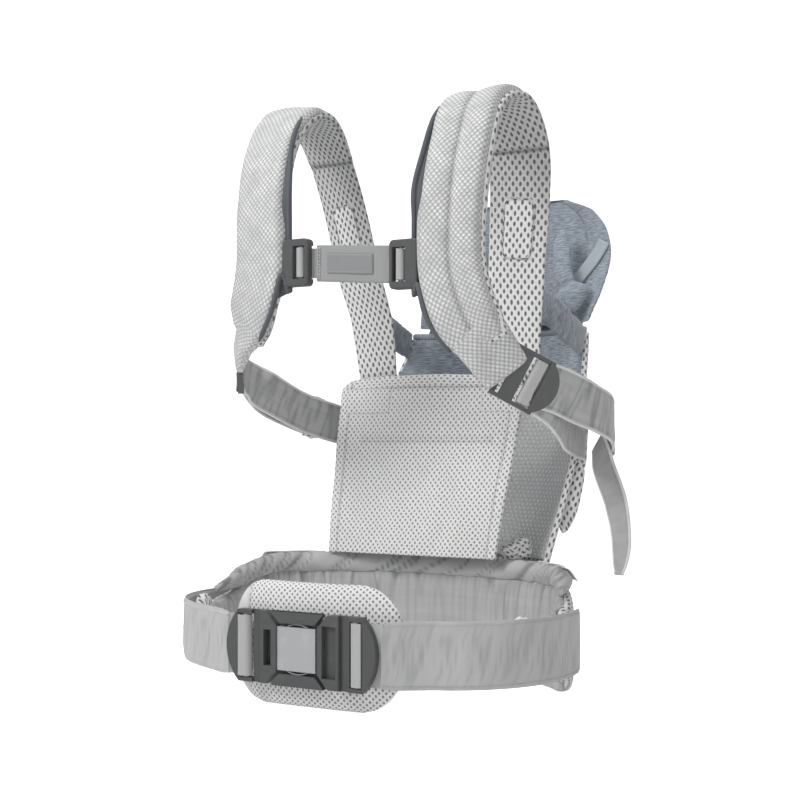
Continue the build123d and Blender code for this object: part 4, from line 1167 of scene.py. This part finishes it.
class CARRIER_OT_chest_strap(CarrierOperator):
    """Weaves the chest strap's wide overlay, its stitched ends and its blank label"""

    bl_idname = "carrier.chest_strap"
    bl_label = "Chest strap"

    def make(self, sizes):
        low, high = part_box("chest_overlay")
        low, high = low / MM, high / MM
        face = (low.y + high.y) / 2
        left, right = low.x, high.x
        tall = 31
        slope = -(high.z - low.z - tall)
        centre = (low.z + high.z) / 2

        def height(x):
            return centre + slope * ((x - left) / (right - left) - 0.5)

        def overlay(u, v):
            x = left + (right - left) * v
            across = 2 * u - 1
            sag = 0.5 * ripple(v * 4, u * 2, 6)
            return Vector((x, face + sag * 0.5 - 0.3,
                height(x) + across * (tall / 2 + 0.25 * ripple(v * 9, 0, 1))))

        bm = bmesh.new()
        # Painted shade at the overlay's stitched end and along its long edges.
        add_cloth(bm, 14, 40, overlay,
            fold=lambda u, v: 0.3 * hill(v, 0.02, 0.015) + 0.25 * hill(abs(2 * u - 1), 0.97, 0.04))
        for x in (left + 2.2, left + 4):
            def line(t, x=x):
                return (x, face - 1.25, height(x) + (t - 0.5) * (tall - 4))
            add_stitches(bm, seam_spots(line, tall - 4, 2.6), 0.3, 1)
        strap = sew("chest_overlay_web", bm, ["sewn_webbing", "thread"], "chest_strap",
            ["chest_overlay"], thick=1.6)

        low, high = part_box("chest_label")
        low, high = low / MM, high / MM
        wide, label_tall, front = high.x - low.x, 17, low.y
        middle = (low.x + high.x) / 2

        def label(u, v):
            x = middle + (2 * v - 1) * wide / 2
            across = 2 * u - 1
            edge = min(1, (1 - abs(across)) * 9, (1 - abs(2 * v - 1)) * 18)
            return Vector((x, front + 0.9 - 0.55 * soft(edge), height(x) + across * label_tall / 2))

        bm = bmesh.new()
        # Painted shade round the label's rim.
        add_cloth(bm, 24, 60, label,
            fold=lambda u, v: 0.35 * hill(max(abs(2 * u - 1), abs(2 * v - 1) * 1.0), 1, 0.03))
        for share in (0.82, -0.82):
            def line(t, y=share):
                x = middle + (t - 0.5) * (wide - 3)
                return (x, front + 0.2, height(x) + y * label_tall / 2)
            add_stitches(bm, seam_spots(line, wide - 3, 1.9), 0.28, 1)
        tag = sew("blank_label", bm, ["label", "thread"], "chest_strap", ["chest_label"], thick=0.5)


# ---------------------------------------------------------------- side straps
UP = (0, 0, 1)
LOAD = {
    "R": [((129, 145, 161), 34, UP), ((139, 100, 166), 36, UP), ((147, 60, 174), 37, UP),
    ((156, 28, 190), 38, (0.3, 0.15, 1)),
          ((150, 8, 200), 37, (0.375, 0.281, 0.882))],
    "L": [((-110, 142, 172), 34, UP), ((-123, 115, 179), 36, UP), ((-137, 85, 189), 36, UP),
    ((-146, 50, 204), 37, UP),
          ((-155, 33, 215), 38, (-0.2, 0.1, 1)), ((-155, 20, 221), 37, (-0.24, 0.35, 0.9)),
          ((-149, 8, 226), 37, (-0.24, 0.35, 0.9))],
}
RETURN = {
    "R": [((150, 0, 207), 37, (0.375, 0.281, 0.882)), ((161, 18, 202), 37, (0.3, 0.15, 1)),
    ((168, 40, 195), 38, (0.2, 0.1, 1)), ((174, 64, 188), 38, UP), ((175, 92, 181), 38, UP),
    ((167, 117, 173), 38, UP),
          ((153, 135, 165), 38, UP)],
    "L": [((-150, 4, 230), 37, (-0.24, 0.35, 0.9)), ((-162, 30, 217), 37, (-0.24, 0.2, 0.95)),
    ((-158, 62, 202), 38, UP), ((-151, 90, 192), 38, UP), ((-138, 119, 181), 36, UP)],
}
TAIL = [((148, 130, 160), 30, (0.5, -0.5, 0.7)), ((158, 119, 138), 29, (0.8, -0.5, 0.4)),
    ((173, 110, 108), 25, (0.9, -0.4, 0.2)),
        ((180, 105, 76), 19, (0.9, -0.3, 0)), ((179, 102, 47), 10, (0.9, -0.3, 0))]


def pleated_strap(name, stations, material, replaces, seed, pleats=1.0, cords=True, taper=0.0):
    """A flat satin strap with cross pleats and a light cord sewn along each edge."""
    route = Route(stations)

    def place(u, v):
        point, across, out, half = route.at(v)
        c, s = rounded(u, 6)
        narrow = 1 - taper * soft((v - 0.93) / 0.07)
        pleat = pleats * (1.0 * ripple(v * route.long / 7, c * 0.9, seed)
            + 0.5 * ripple(v * route.long / 19, c, seed + 5))
        return point + across * (half * c * 0.95 * narrow) + out * (s * 1.3 + pleat * (1 - abs(c) ** 3))

    # Painted shade in the pleats and near the strap's edges.
    def fold(u, v):
        c, _ = rounded(u, 6)
        return pleats * 0.42 * crease(ripple(v * route.long / 8, c * 0.45, seed), 0.14) + 0.18 * hill(abs(c),
            0.86, 0.05)

    bm = bmesh.new()
    add_cloth(bm, 36, max(24, int(route.long / 1.5)), place, wrap=True, fold=fold)
    if cords:
        for side in (1, -1):
            def spine(v, side=side):
                point, across, out, half = route.at(v)
                narrow = 1 - taper * soft((v - 0.93) / 0.07)
                return point + across * (side * half * 0.97 * narrow), across, out
            add_tube(bm, spine, 1.35, int(route.long / 2.5), 8, 1)
    piece = sew(name, bm, [material, "plain_flap"], "carrier", replaces, smooth=False)
    return piece, route


class CARRIER_OT_side_straps(CarrierOperator):
    """Sews the pleated side straps, the return straps, the hanging tail and the keepers"""

    bl_idname = "carrier.side_straps"
    bl_label = "Side straps"

    def make(self, sizes):
        for side in SIDES:
            load, _ = pleated_strap(f"load_strap_{side}", LOAD[side], "gathered_satin",
                [f"side_strap_{side}"], 3, 1.0)
            back, _ = pleated_strap(f"return_strap_{side}_cloth", RETURN[side], "gathered_satin",
                [f"return_strap_{side}"], 13, 1.2)
        tail, _ = pleated_strap("strap_tail", TAIL, "satin", ["strap_tail_R"], 23, 0.35, True, 0.25)

        bm = bmesh.new()
        for side in SIDES:
            (near, _, _), (far, wide, across) = RETURN[side][-2:]
            near, far, across = Vector(near), Vector(far), Vector(across)
            along = (far - near).normalized()
            across = (across - along * across.dot(along)).normalized()
            out = across.cross(along)
            centre = near * 0.3 + far * 0.7

            def ring(u, v, centre=centre, along=along, across=across, out=out, wide=wide):
                c, s = rounded(u, 8)
                lip = 0.5 * hill(abs(2 * v - 1), 0.8, 0.12)
                return (centre + along * ((2 * v - 1) * 5.5) + across * (c * (wide / 2 + 1.7 + lip))
                    + out * (s * (3.2 + lip)))

            add_cloth(bm, 48, 10, ring, wrap=True, caps=False)
        sew("keepers", bm, ["spacer_mesh"], "carrier", ["strap_keepers"], thick=1.3)


# ---------------------------------------------------------------- panels
PANEL_TILT, PANEL_FOOT_Y, PANEL_LOW, PANEL_TALL, PANEL_THICK = 6, 84, 56.5, 166, 6


def panel_edges(height):
    """Left and right edges of the inner panel at a height above its foot."""
    t = height / PANEL_TALL
    left = -104 + 4 * soft(t) + 11 * soft((t - 0.9) / 0.1) ** 2
    right = 72 + 20 * min(1, t / 0.84) - 9 * soft((t - 0.88) / 0.12) ** 2
    return left, right


def panel_spot(x, height, off):
    """A point of the inner panel: off is millimetres towards the wearer from its middle."""
    lean = radians(PANEL_TILT)
    away = PANEL_THICK / 2 + off
    return Vector((x, PANEL_FOOT_Y - away * cos(lean) + height * sin(lean),
        PANEL_LOW + height * cos(lean) + away * sin(lean)))


class CARRIER_OT_inner_panel(CarrierOperator):
    """Sews the fine mesh inner panel with its bound edges, top hem and strap anchors"""

    bl_idname = "carrier.inner_panel"
    bl_label = "Inner panel"

    def make(self, sizes):
        def waves(x, t):
            slack = 2.2 * ripple(x * 0.022, t * 1.6, 2) + 1.8 * ripple(x * 0.06, t * 3.5, 4)
            slack += 1.0 * ripple(x * 0.10 + t * 2.5, t * 1.2, 6) * soft((t - 0.5) / 0.4)
            return slack

        def panel(u, v):
            height = PANEL_TALL * v
            left, right = panel_edges(height)
            x = left + (right - left) * u
            crown = -3.5 * (2 * u - 1) ** 2 * soft((v - 0.8) / 0.2)
            return panel_spot(x, height + crown, waves(x, v))

        # Painted shade along the panel's hem, side and cross seams.
        def fold(u, v):
            left, right = panel_edges(PANEL_TALL * v)
            x = left + (right - left) * u
            seams = 0.36 * hill(v, 0.93, 0.008) + 0.3 * hill(x, right - 10, 1.3) + 0.3 * hill(x, left + 10,
                1.3)
            seams += (0.26 * hill(v, 0.63, 0.008) + 0.2 * hill(v, 0.655, 0.006)) * (abs(x + 5) < 70)
            return seams

        bm = bmesh.new()
        add_cloth(bm, 90, 86, panel, fold=fold)
        cloth = sew("inner_panel_mesh", bm, ["panel_mesh"], "carrier", ["inner_panel"], thick=2.6)

        bm = bmesh.new()
        for side in (0, 1):
            def edge(u, v, side=side):
                height = PANEL_TALL * v * 0.985
                left, right = panel_edges(height)
                at = (left + 4.6, right - 4.6)[side]
                c, s = rounded(u, 3)
                x = at + c * 4.8
                return panel_spot(x, height - 2.2 * v ** 6,
                    waves(x, v) + s * 2.1 + 0.25 * ripple(v * 20, c, 3))
            add_cloth(bm, 16, 80, edge, wrap=True)
        def hem(u, v):
            c, s = rounded(u, 3)
            left, right = panel_edges(PANEL_TALL * 0.99)
            x = left + 4 + (right - left - 8) * v
            share = (x - left) / (right - left)
            height = PANEL_TALL - 5.6 - 3.0 * (2 * share - 1) ** 2 + c * 5.6
            return panel_spot(x, height, waves(x, 0.97) + s * 2.2 + 0.3 * ripple(v * 14, c, 8))
        add_cloth(bm, 16, 80, hem, wrap=True)
        bound = sew("inner_panel_binding", bm, ["panel_mesh"], "carrier", ["inner_panel_hem"],
            outward=True, smooth=False)

        bm = bmesh.new()
        for side, sign in SIDES.items():
            foot_x, _ = STRAP_FOOT[side]
            wide = 50 if side == "R" else 58

            def anchor(u, v, foot_x=foot_x, sign=sign, wide=wide):
                x = sign * foot_x + (2 * u - 1) * wide / 2 + (-6 if sign < 0 else 0)
                left, right = panel_edges(PANEL_TALL * 0.9)
                x = min(max(x, left + 8), right - 6)
                height = PANEL_TALL - 12 - 24 * v
                edge = min(1, 8 * (1 - abs(2 * u - 1)), 8 * (1 - abs(2 * v - 1)))
                return panel_spot(x, height, waves(x, 0.86) + 1.1 + 0.9 * soft(edge))
            # Painted shade round the anchors' rims.
            add_cloth(bm, 20, 12, anchor,
                fold=lambda u, v: 0.25 * hill(max(abs(2 * u - 1), abs(2 * v - 1)), 0.97, 0.04))
        anchors = sew("strap_anchors", bm, ["panel_mesh"], "carrier", [], thick=0.8)


def from_band(levels):
    return [(z, half, BAND_Y + middle, BAND_Y + side, shift) for z, half, middle, side, shift in levels]


FRONT = from_band([(-34, 92, 3, -10, 0), (18, 96, 8, -8, 0), (62, 104, 39, 1, 0), (105, 108, 69, 17, 2),
    (150, 110, 88, 37, 3),
                   (205, 104, 101, 63, 5), (264, 94, 117, 93, 6)])
HEAD = from_band([(274, 92, 124, 101, 9), (305, 98, 133, 105, 15), (338, 103, 138, 111, 17),
    (366, 96, 139, 117, 17),
                  (386, 78, 138, 124, 17), (399, 52, 137, 130, 17)])


def level_at(levels, share):
    """A panel's (z, half width, middle y, side y, middle x) at a share of the way up, smoothly through its
    levels."""
    low, high = levels[0][0], levels[-1][0]
    z = low + (high - low) * min(max(share, 0), 1)
    i = min(max(bisect_right([row[0] for row in levels], z) - 1, 0), len(levels) - 2)
    t = (z - levels[i][0]) / (levels[i + 1][0] - levels[i][0])
    rows = [levels[max(i - 1, 0)], levels[i], levels[i + 1], levels[min(i + 2, len(levels) - 1)]]
    curve = [0.5 * (2 * b + (c - a) * t + (2 * a - 5 * b + 4 * c - d) * t * t
        + (3 * b - a - 3 * c + d) * t ** 3) for a, b, c, d in zip(*rows)]
    return (z, *curve[1:])


def wrapped(levels, share, x, off=0.0):
    """A point on a panel that curves round the baby: x from -1 to 1 across it, and off millimetres towards
    +Y."""
    z, half, middle, side, shift = level_at(levels, share)
    return Vector((shift + half * x, side + (middle - side) * (1 - x * x) + off, z))


class CARRIER_OT_front_panel(CarrierOperator):
    """Sews the front panel: mesh outside, a lining in painted shade, jersey at the top, bound edges and
    the folded binding"""

    bl_idname = "carrier.front_panel"
    bl_label = "Front panel"

    def make(self, sizes):
        def sway(x, v):
            return 1.5 * ripple(x * 2.4, v * 3.6, 3) + 0.8 * ripple(x * 6, v * 9, 6)

        def outside(u, v):
            x = 2 * u - 1
            return wrapped(FRONT, v, x, sway(x, v) * (1 - abs(x) ** 6) + 0.6)

        # Painted shade along the front panel's seams.
        def seams(u, v):
            x = 2 * u - 1
            return 0.3 * hill(abs(x), 0.62 - 0.12 * v, 0.008) + 0.3 * hill(v, 0.5, 0.005) * (abs(x) > 0.62)

        bm = bmesh.new()
        add_cloth(bm, 90, 110, outside, fold=seams)
        shell = sew("front_panel_cloth", bm, ["spacer_mesh"], "carrier", ["front_panel_mesh"],
            thick=2.6)

        def lining(u, v):
            x = (2 * u - 1) * 0.985
            share = 0.30 + (0.80 - 0.30) * v
            return wrapped(FRONT, share, x, -3.2 + 0.6 * sway(x, share))

        bm = bmesh.new()
        # Painted shade: the whole lining is darkened evenly on top of the shaded inner mesh.
        add_cloth(bm, 70, 60, lining, fold=lambda u, v: 0.12)
        inner = sew("front_lining", bm, ["inner_mesh"], "carrier", ["front_panel_lining"], thick=1.2)

        def jersey(u, v):
            x = (2 * u - 1) * 0.99
            share = 0.79 + (0.998 - 0.79) * v
            bunch = 1.6 * ripple(x * 5, share * 14, 5) + 1.0 * ripple(x * 12 + share * 9, share * 20, 8)
            return wrapped(FRONT, share, x, -4.6 + bunch * (0.4 + abs(x)))

        bm = bmesh.new()
        # Painted shade near the jersey's lower edge and along its two seams.
        add_cloth(bm, 90, 34, jersey,
            fold=lambda u, v: 0.35 * hill(v, 0.08, 0.03) + 0.3 * hill(abs(2 * u - 1), 0.7, 0.012))
        top = sew("front_jersey", bm, ["jersey"], "carrier", ["front_panel_jersey"], thick=1.4)

        def binding(u, v):
            c, s = rounded(u, 3)
            x = 2 * v - 1
            point = wrapped(FRONT, 1, x, c * 3.4)
            return point + Vector((0, 0, 2.4 + s * 3.6 + 0.6 * ripple(v * 18, c, 3)))

        bm = bmesh.new()
        add_cloth(bm, 14, 110, binding, wrap=True)
        for side in (1, -1):
            def edge(u, v, side=side):
                c, s = rounded(u, 3)
                share = 0.16 + 0.84 * v
                point = wrapped(FRONT, share, side)
                return point + Vector((side * (0.6 + s * 3.6) * 0.8, c * 3.2, 0)) + Vector((0,
                    0.3 * ripple(v * 20, c, 3), 0))
            add_cloth(bm, 14, 110, edge, wrap=True, material=1)
        bound = sew("front_binding", bm, ["jersey", "spacer_mesh"], "carrier",
            ["front_panel_binding"], outward=True, smooth=False)

        # The fold that joins the head support to the front panel bends as the head support turns out.
        def fold_cloth(u, v):
            x = (2 * u - 1) * 0.9
            below, above = wrapped(FRONT, 0.985, x, -2.2), wrapped(HEAD, 0.05, x, -1.0)
            bow = Vector((0, 1.2 * sin(pi * v), 0))
            return below.lerp(above, v) + bow + Vector((0, 0.8 * ripple(x * 7, v * 2, 4), 0))

        bm = bmesh.new()
        add_cloth(bm, 80, 10, fold_cloth)
        joint = sew("head_fold", bm, ["jersey"], None, [], thick=1.6)
        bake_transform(joint)


class CARRIER_OT_wings(CarrierOperator):
    """Sews the side wings that carry the straps, the seat gussets and the plain flaps over the belt"""

    bl_idname = "carrier.wings"
    bl_label = "Wings and gussets"

    def make(self, sizes):
        wings = {
            "R": [((117, 167, 168), 84, UP), ((122, 160, 164), 62, UP), ((126, 153, 161), 42, UP)],
            "L": [((-112, 170, 176), 84, UP), ((-112, 160, 173), 60, UP), ((-111, 149, 172), 42, UP)],
        }
        bm = bmesh.new()
        for side in SIDES:
            route = Route(wings[side], 60)

            def wing(u, v, route=route):
                c, s = rounded(u, 4)
                point, across, out, half = route.at(v)
                return point + across * (half * c * (1 - 0.1 * hill(v, 0, 0.2))) + out * (s * 2.0
                    + 0.9 * ripple(v * 3, c * 2, 5))
            add_cloth(bm, 40, 18, wing, wrap=True)
        for side, sign in SIDES.items():
            route = Route([((sign * 109, 142, 78), 14, (1, 0, 0)), ((sign * 112, 150, 105), 20, (1, 0.1, 0)),
                           ((sign * 113, 160, 130), 20, (1, 0.1, 0)),
                           ((sign * 112, 166, 150), 15, (1, 0, 0))], 80)

            def lobe(u, v, route=route):
                c, s = rounded(u, 2.4)
                point, across, out, half = route.at(v)
                close = sqrt(max(0.02, 1 - (2 * v - 1) ** 4))
                return point + across * (half * c * close * 0.9) + out * (s * 5.5 * close)
            add_cloth(bm, 24, 40, lobe, wrap=True)
        made = sew("wing_cloths", bm, ["spacer_mesh"], "carrier", ["side_wings"], outward=True,
            smooth=False)

        foot = PANEL_FOOT_Y
        bm = bmesh.new()
        for sign in SIDES.values():
            route = Route([((sign * 70, foot + 14, 62), 12, UP), ((sign * 78, foot + 28, 64), 18, UP),
                ((sign * 85, foot + 40, 68), 22, UP)], 60)

            def gusset(u, v, route=route):
                c, s = rounded(u, 2.6)
                point, across, out, half = route.at(v)
                close = sqrt(max(0.05, 1 - (2 * v - 1) ** 4))
                crumple = 1.8 * ripple(v * 6, c * 2.5, 2) + 1.1 * ripple(v * 14 + s, c * 5, 6)
                return point + across * (half * c * close + crumple) + out * (s * 6 * close + crumple)
            add_cloth(bm, 36, 40, gusset, wrap=True)
        made = sew("seat_gusset_cloths", bm, ["spacer_mesh"], "carrier", ["seat_gussets"],
            outward=True, smooth=False)

        bm = bmesh.new()
        for first, last in ((24, 50), (130, 158)):
            def flap(u, v, first=first, last=last):
                spot = loop_spot(first + (last - first) * u, 14 - 13 * v, 0)
                return Vector((spot.x, spot.y, 56.8 - 12 * v * v + 0.8 * ripple(u * 4, v * 3, 2)))
            # Painted shade round the flaps' edges.
            add_cloth(bm, 30, 14, flap, fold=lambda u, v: 0.25 * hill(min(u, 1 - u, v, 1 - v), 0.08, 0.03))
        flaps = sew("belt_flap_cloths", bm, ["plain_flap"], "carrier", ["belt_flaps"], thick=1.2)


class CARRIER_OT_head_support(CarrierOperator):
    """Sews the padded head support with its seams, side rolls, mesh back and ribbons"""

    bl_idname = "carrier.head_support"
    bl_label = "Head support"

    def make(self, sizes):
        seams = (-0.62, -0.2, 0.2, 0.62)

        def close_top(v):
            return sqrt(max(0.0, 1 - max(0.0, (v - 0.93) / 0.07) ** 2)) * (0.6 + 0.4 * soft(v / 0.05))

        def pad(u, v):
            c, s = rounded(u, 3.4)
            share = v
            x = c * (1 - 0.06 * hill(v, 1, 0.04))
            groove = sum(1.6 * hill(x, seam * (1 + 0.25 * v), 0.022) for seam in seams)
            thick = (4.7 * close_top(v) - (groove if s < 0 else 0)) * (1 - 0.1 * abs(x) ** 6)
            curl = 5.0 * abs(x) ** 5
            return wrapped(HEAD, share, x, s * max(0.3, thick) - curl + 0.6 * ripple(x * 4, v * 5, 2))

        # Painted shade along the seam grooves on the pad's grooved face.
        def pad_fold(u, v):
            c, s = rounded(u, 3.4)
            lines = sum(hill(c, seam * (1 + 0.25 * v), 0.014) for seam in seams)
            return 0.55 * lines * (s < 0.1)

        bm = bmesh.new()
        add_cloth(bm, 132, 76, pad, wrap=True, fold=pad_fold)
        shell = sew("head_pad", bm, ["jersey"], "head_support", ["head_support_pad"], outward=True)

        def sewn(point):
            share = (point.z - HEAD[0][0]) / (HEAD[-1][0] - HEAD[0][0])
            _, half, _, _, shift = level_at(HEAD, share)
            x = (point.x - shift) / half
            near = max(hill(x, seam * (1 + 0.25 * share), 0.03) for seam in seams)
            return 1.0 if near > 0.5 or share < 0.03 or share > 0.97 or abs(x) > 0.97 else 0.0

        puff(shell, sewn, 2.2, 2.5, 12)

        def back(u, v):
            x = (2 * u - 1) * 0.97
            return wrapped(HEAD, 0.02 + 0.94 * v, x, 6.6 - 5.0 * abs(x) ** 5 + 0.4 * ripple(x * 4, v * 5, 7))

        bm = bmesh.new()
        # Painted shade along the back's middle seam.
        add_cloth(bm, 60, 40, back, fold=lambda u, v: 0.3 * hill(abs(2 * u - 1), 0.5, 0.01))
        mesh = sew("head_back_mesh", bm, ["spacer_mesh"], "head_support", ["head_support_mesh"],
            thick=1.6)

        bm = bmesh.new()
        for sign in SIDES.values():
            x = 17 + sign * 66
            route = Route([((x + sign * 6, 211, 284), 16, (1, 0, 0)),
                ((x + sign * 2, 215, 300), 26, (1, 0, 0)), ((x - sign * 9, 220, 322), 17, (1, 0, 0)),
                           ((x - sign * 12, 225, 344), 19, (1, 0, 0)),
                           ((x - sign * 14, 229, 366), 12, (1, 0, 0))], 120)

            def roll(u, v, route=route):
                c, s = rounded(u, 2.2)
                point, across, out, half = route.at(v)
                knot = 1 + 0.35 * hill(v, 0.2, 0.09) - 0.25 * hill(v, 0.34, 0.05)
                close = sqrt(max(0.02, 1 - (2 * v - 1) ** 6))
                crumple = 0.9 * ripple(v * 12, c * 1.5, 5)
                return point + across * ((half * c * knot + crumple) * close) + out * (s * 5.6 * knot * close
                    + crumple)
            # Painted shade in the crease at each roll's knot.
            add_cloth(bm, 26, 70, roll, wrap=True, fold=lambda u, v: 0.3 * hill(v, 0.34, 0.03))
        rolls = sew("head_rolls", bm, ["jersey"], "head_support", ["head_side_rolls"], outward=True,
            smooth=False)

        bm = bmesh.new()
        for start, end in (((0.96, 0.62), (0.36, 0.06)), ((-0.96, 0.62), (-0.36, 0.06))):
            def ribbon(u, v, start=start, end=end):
                x = start[0] + (end[0] - start[0]) * v
                share = start[1] + (end[1] - start[1]) * v
                spot = wrapped(HEAD, share, x, -7.6 - 2.5 * sin(pi * v) - 5.0 * abs(x) ** 5)
                ahead = wrapped(HEAD, share + 0.05, x + 0.05 * (1 if end[0] > 0 else -1), 0) - wrapped(HEAD,
                    share, x, 0)
                across = Vector((-ahead.z, 0, ahead.x)).normalized()
                return spot + across * ((2 * u - 1) * 6)
            # Painted shade along the ribbons' edges.
            add_cloth(bm, 6, 60, ribbon, fold=lambda u, v: 0.15 * hill(abs(2 * u - 1), 1, 0.1))
        ribbons = sew("head_ribbons", bm, ["ribbon"], "head_support", [], thick=0.9)


class CARRIER_OT_neck_straps(CarrierOperator):
    """Sews the jersey neck straps from the front panel's corners to the shoulder straps"""

    bl_idname = "carrier.neck_straps"
    bl_label = "Neck straps"

    def make(self, sizes):
        ends = {"R": ((100, 204, 256), (92, 116, 292)), "L": ((-90, 204, 258), (-80, 116, 302))}
        bm = bmesh.new()
        for side, (panel, strap) in ends.items():
            panel, strap = Vector(panel), Vector(strap)
            mid = (panel + strap) / 2 + Vector((SIDES[side] * 6, 0, -5))
            route = Route([(panel, 27, (0, 0.3, 1)), (mid, 31, (0, 0.3, 1)), (strap, 27, (0, 0.3, 1))])

            def sleeve(u, v, route=route):
                c, s = rounded(u, 2.8)
                point, across, out, half = route.at(v)
                crumple = 1.3 * ripple(v * 9, c * 1.4, 5) + 0.7 * ripple(v * 22, c * 2, 8)
                return point + across * (half * c + crumple * 0.6) + out * (s * 3.6 + crumple)
            # Painted shade in the sleeves' creases and at their middle seam.
            add_cloth(bm, 36, 80, sleeve, wrap=True,
                      fold=lambda u, v: min(0.35, 0.9 * max(0, -ripple(v * 9, rounded(u, 2.8)[0] * 1.4, 5)))
                      + 0.3 * hill(v, 0.5, 0.012))
        straps = sew("neck_strap_sleeves", bm, ["jersey"], "carrier", ["neck_straps"], outward=True,
            smooth=False)


# ---------------------------------------------------------------- add-on
OPERATORS = (
    CARRIER_OT_stage, CARRIER_OT_mouldings, CARRIER_OT_waist_belt, CARRIER_OT_waist_bands,
    CARRIER_OT_buckle_pad,
    CARRIER_OT_shoulder_straps, CARRIER_OT_rails, CARRIER_OT_chest_strap, CARRIER_OT_side_straps,
    CARRIER_OT_inner_panel,
    CARRIER_OT_front_panel, CARRIER_OT_wings, CARRIER_OT_head_support, CARRIER_OT_neck_straps,
)


class CARRIER_PT_panel(bpy.types.Panel):
    """Lists the carrier's pieces, sizes and colours"""

    bl_idname = "CARRIER_PT_panel"
    bl_label = "Soft Baby Carrier"
    bl_space_type = "VIEW_3D"
    bl_region_type = "UI"
    bl_category = "Carrier"

    def draw(self, context):
        column = self.layout.column(align=True)
        for operator in OPERATORS:
            column.operator(operator.bl_idname)
        for group in (context.scene.carrier_sizes, context.scene.carrier_colours):
            for name in group.__annotations__:
                self.layout.prop(group, name)


CLASSES = (CarrierColours, CarrierSizes, *OPERATORS, CARRIER_PT_panel)


def register():
    for made in CLASSES:
        bpy.utils.register_class(made)
    bpy.types.Scene.carrier_colours = PointerProperty(type=CarrierColours)
    bpy.types.Scene.carrier_sizes = PointerProperty(type=CarrierSizes)


def unregister():
    del bpy.types.Scene.carrier_sizes
    del bpy.types.Scene.carrier_colours
    for made in reversed(CLASSES):
        bpy.utils.unregister_class(made)


def main():
    register()
    make_materials()
    for operator in OPERATORS:
        group, name = operator.bl_idname.split(".")
        getattr(getattr(bpy.ops, group), name)()


if __name__ == "__main__":
    main()
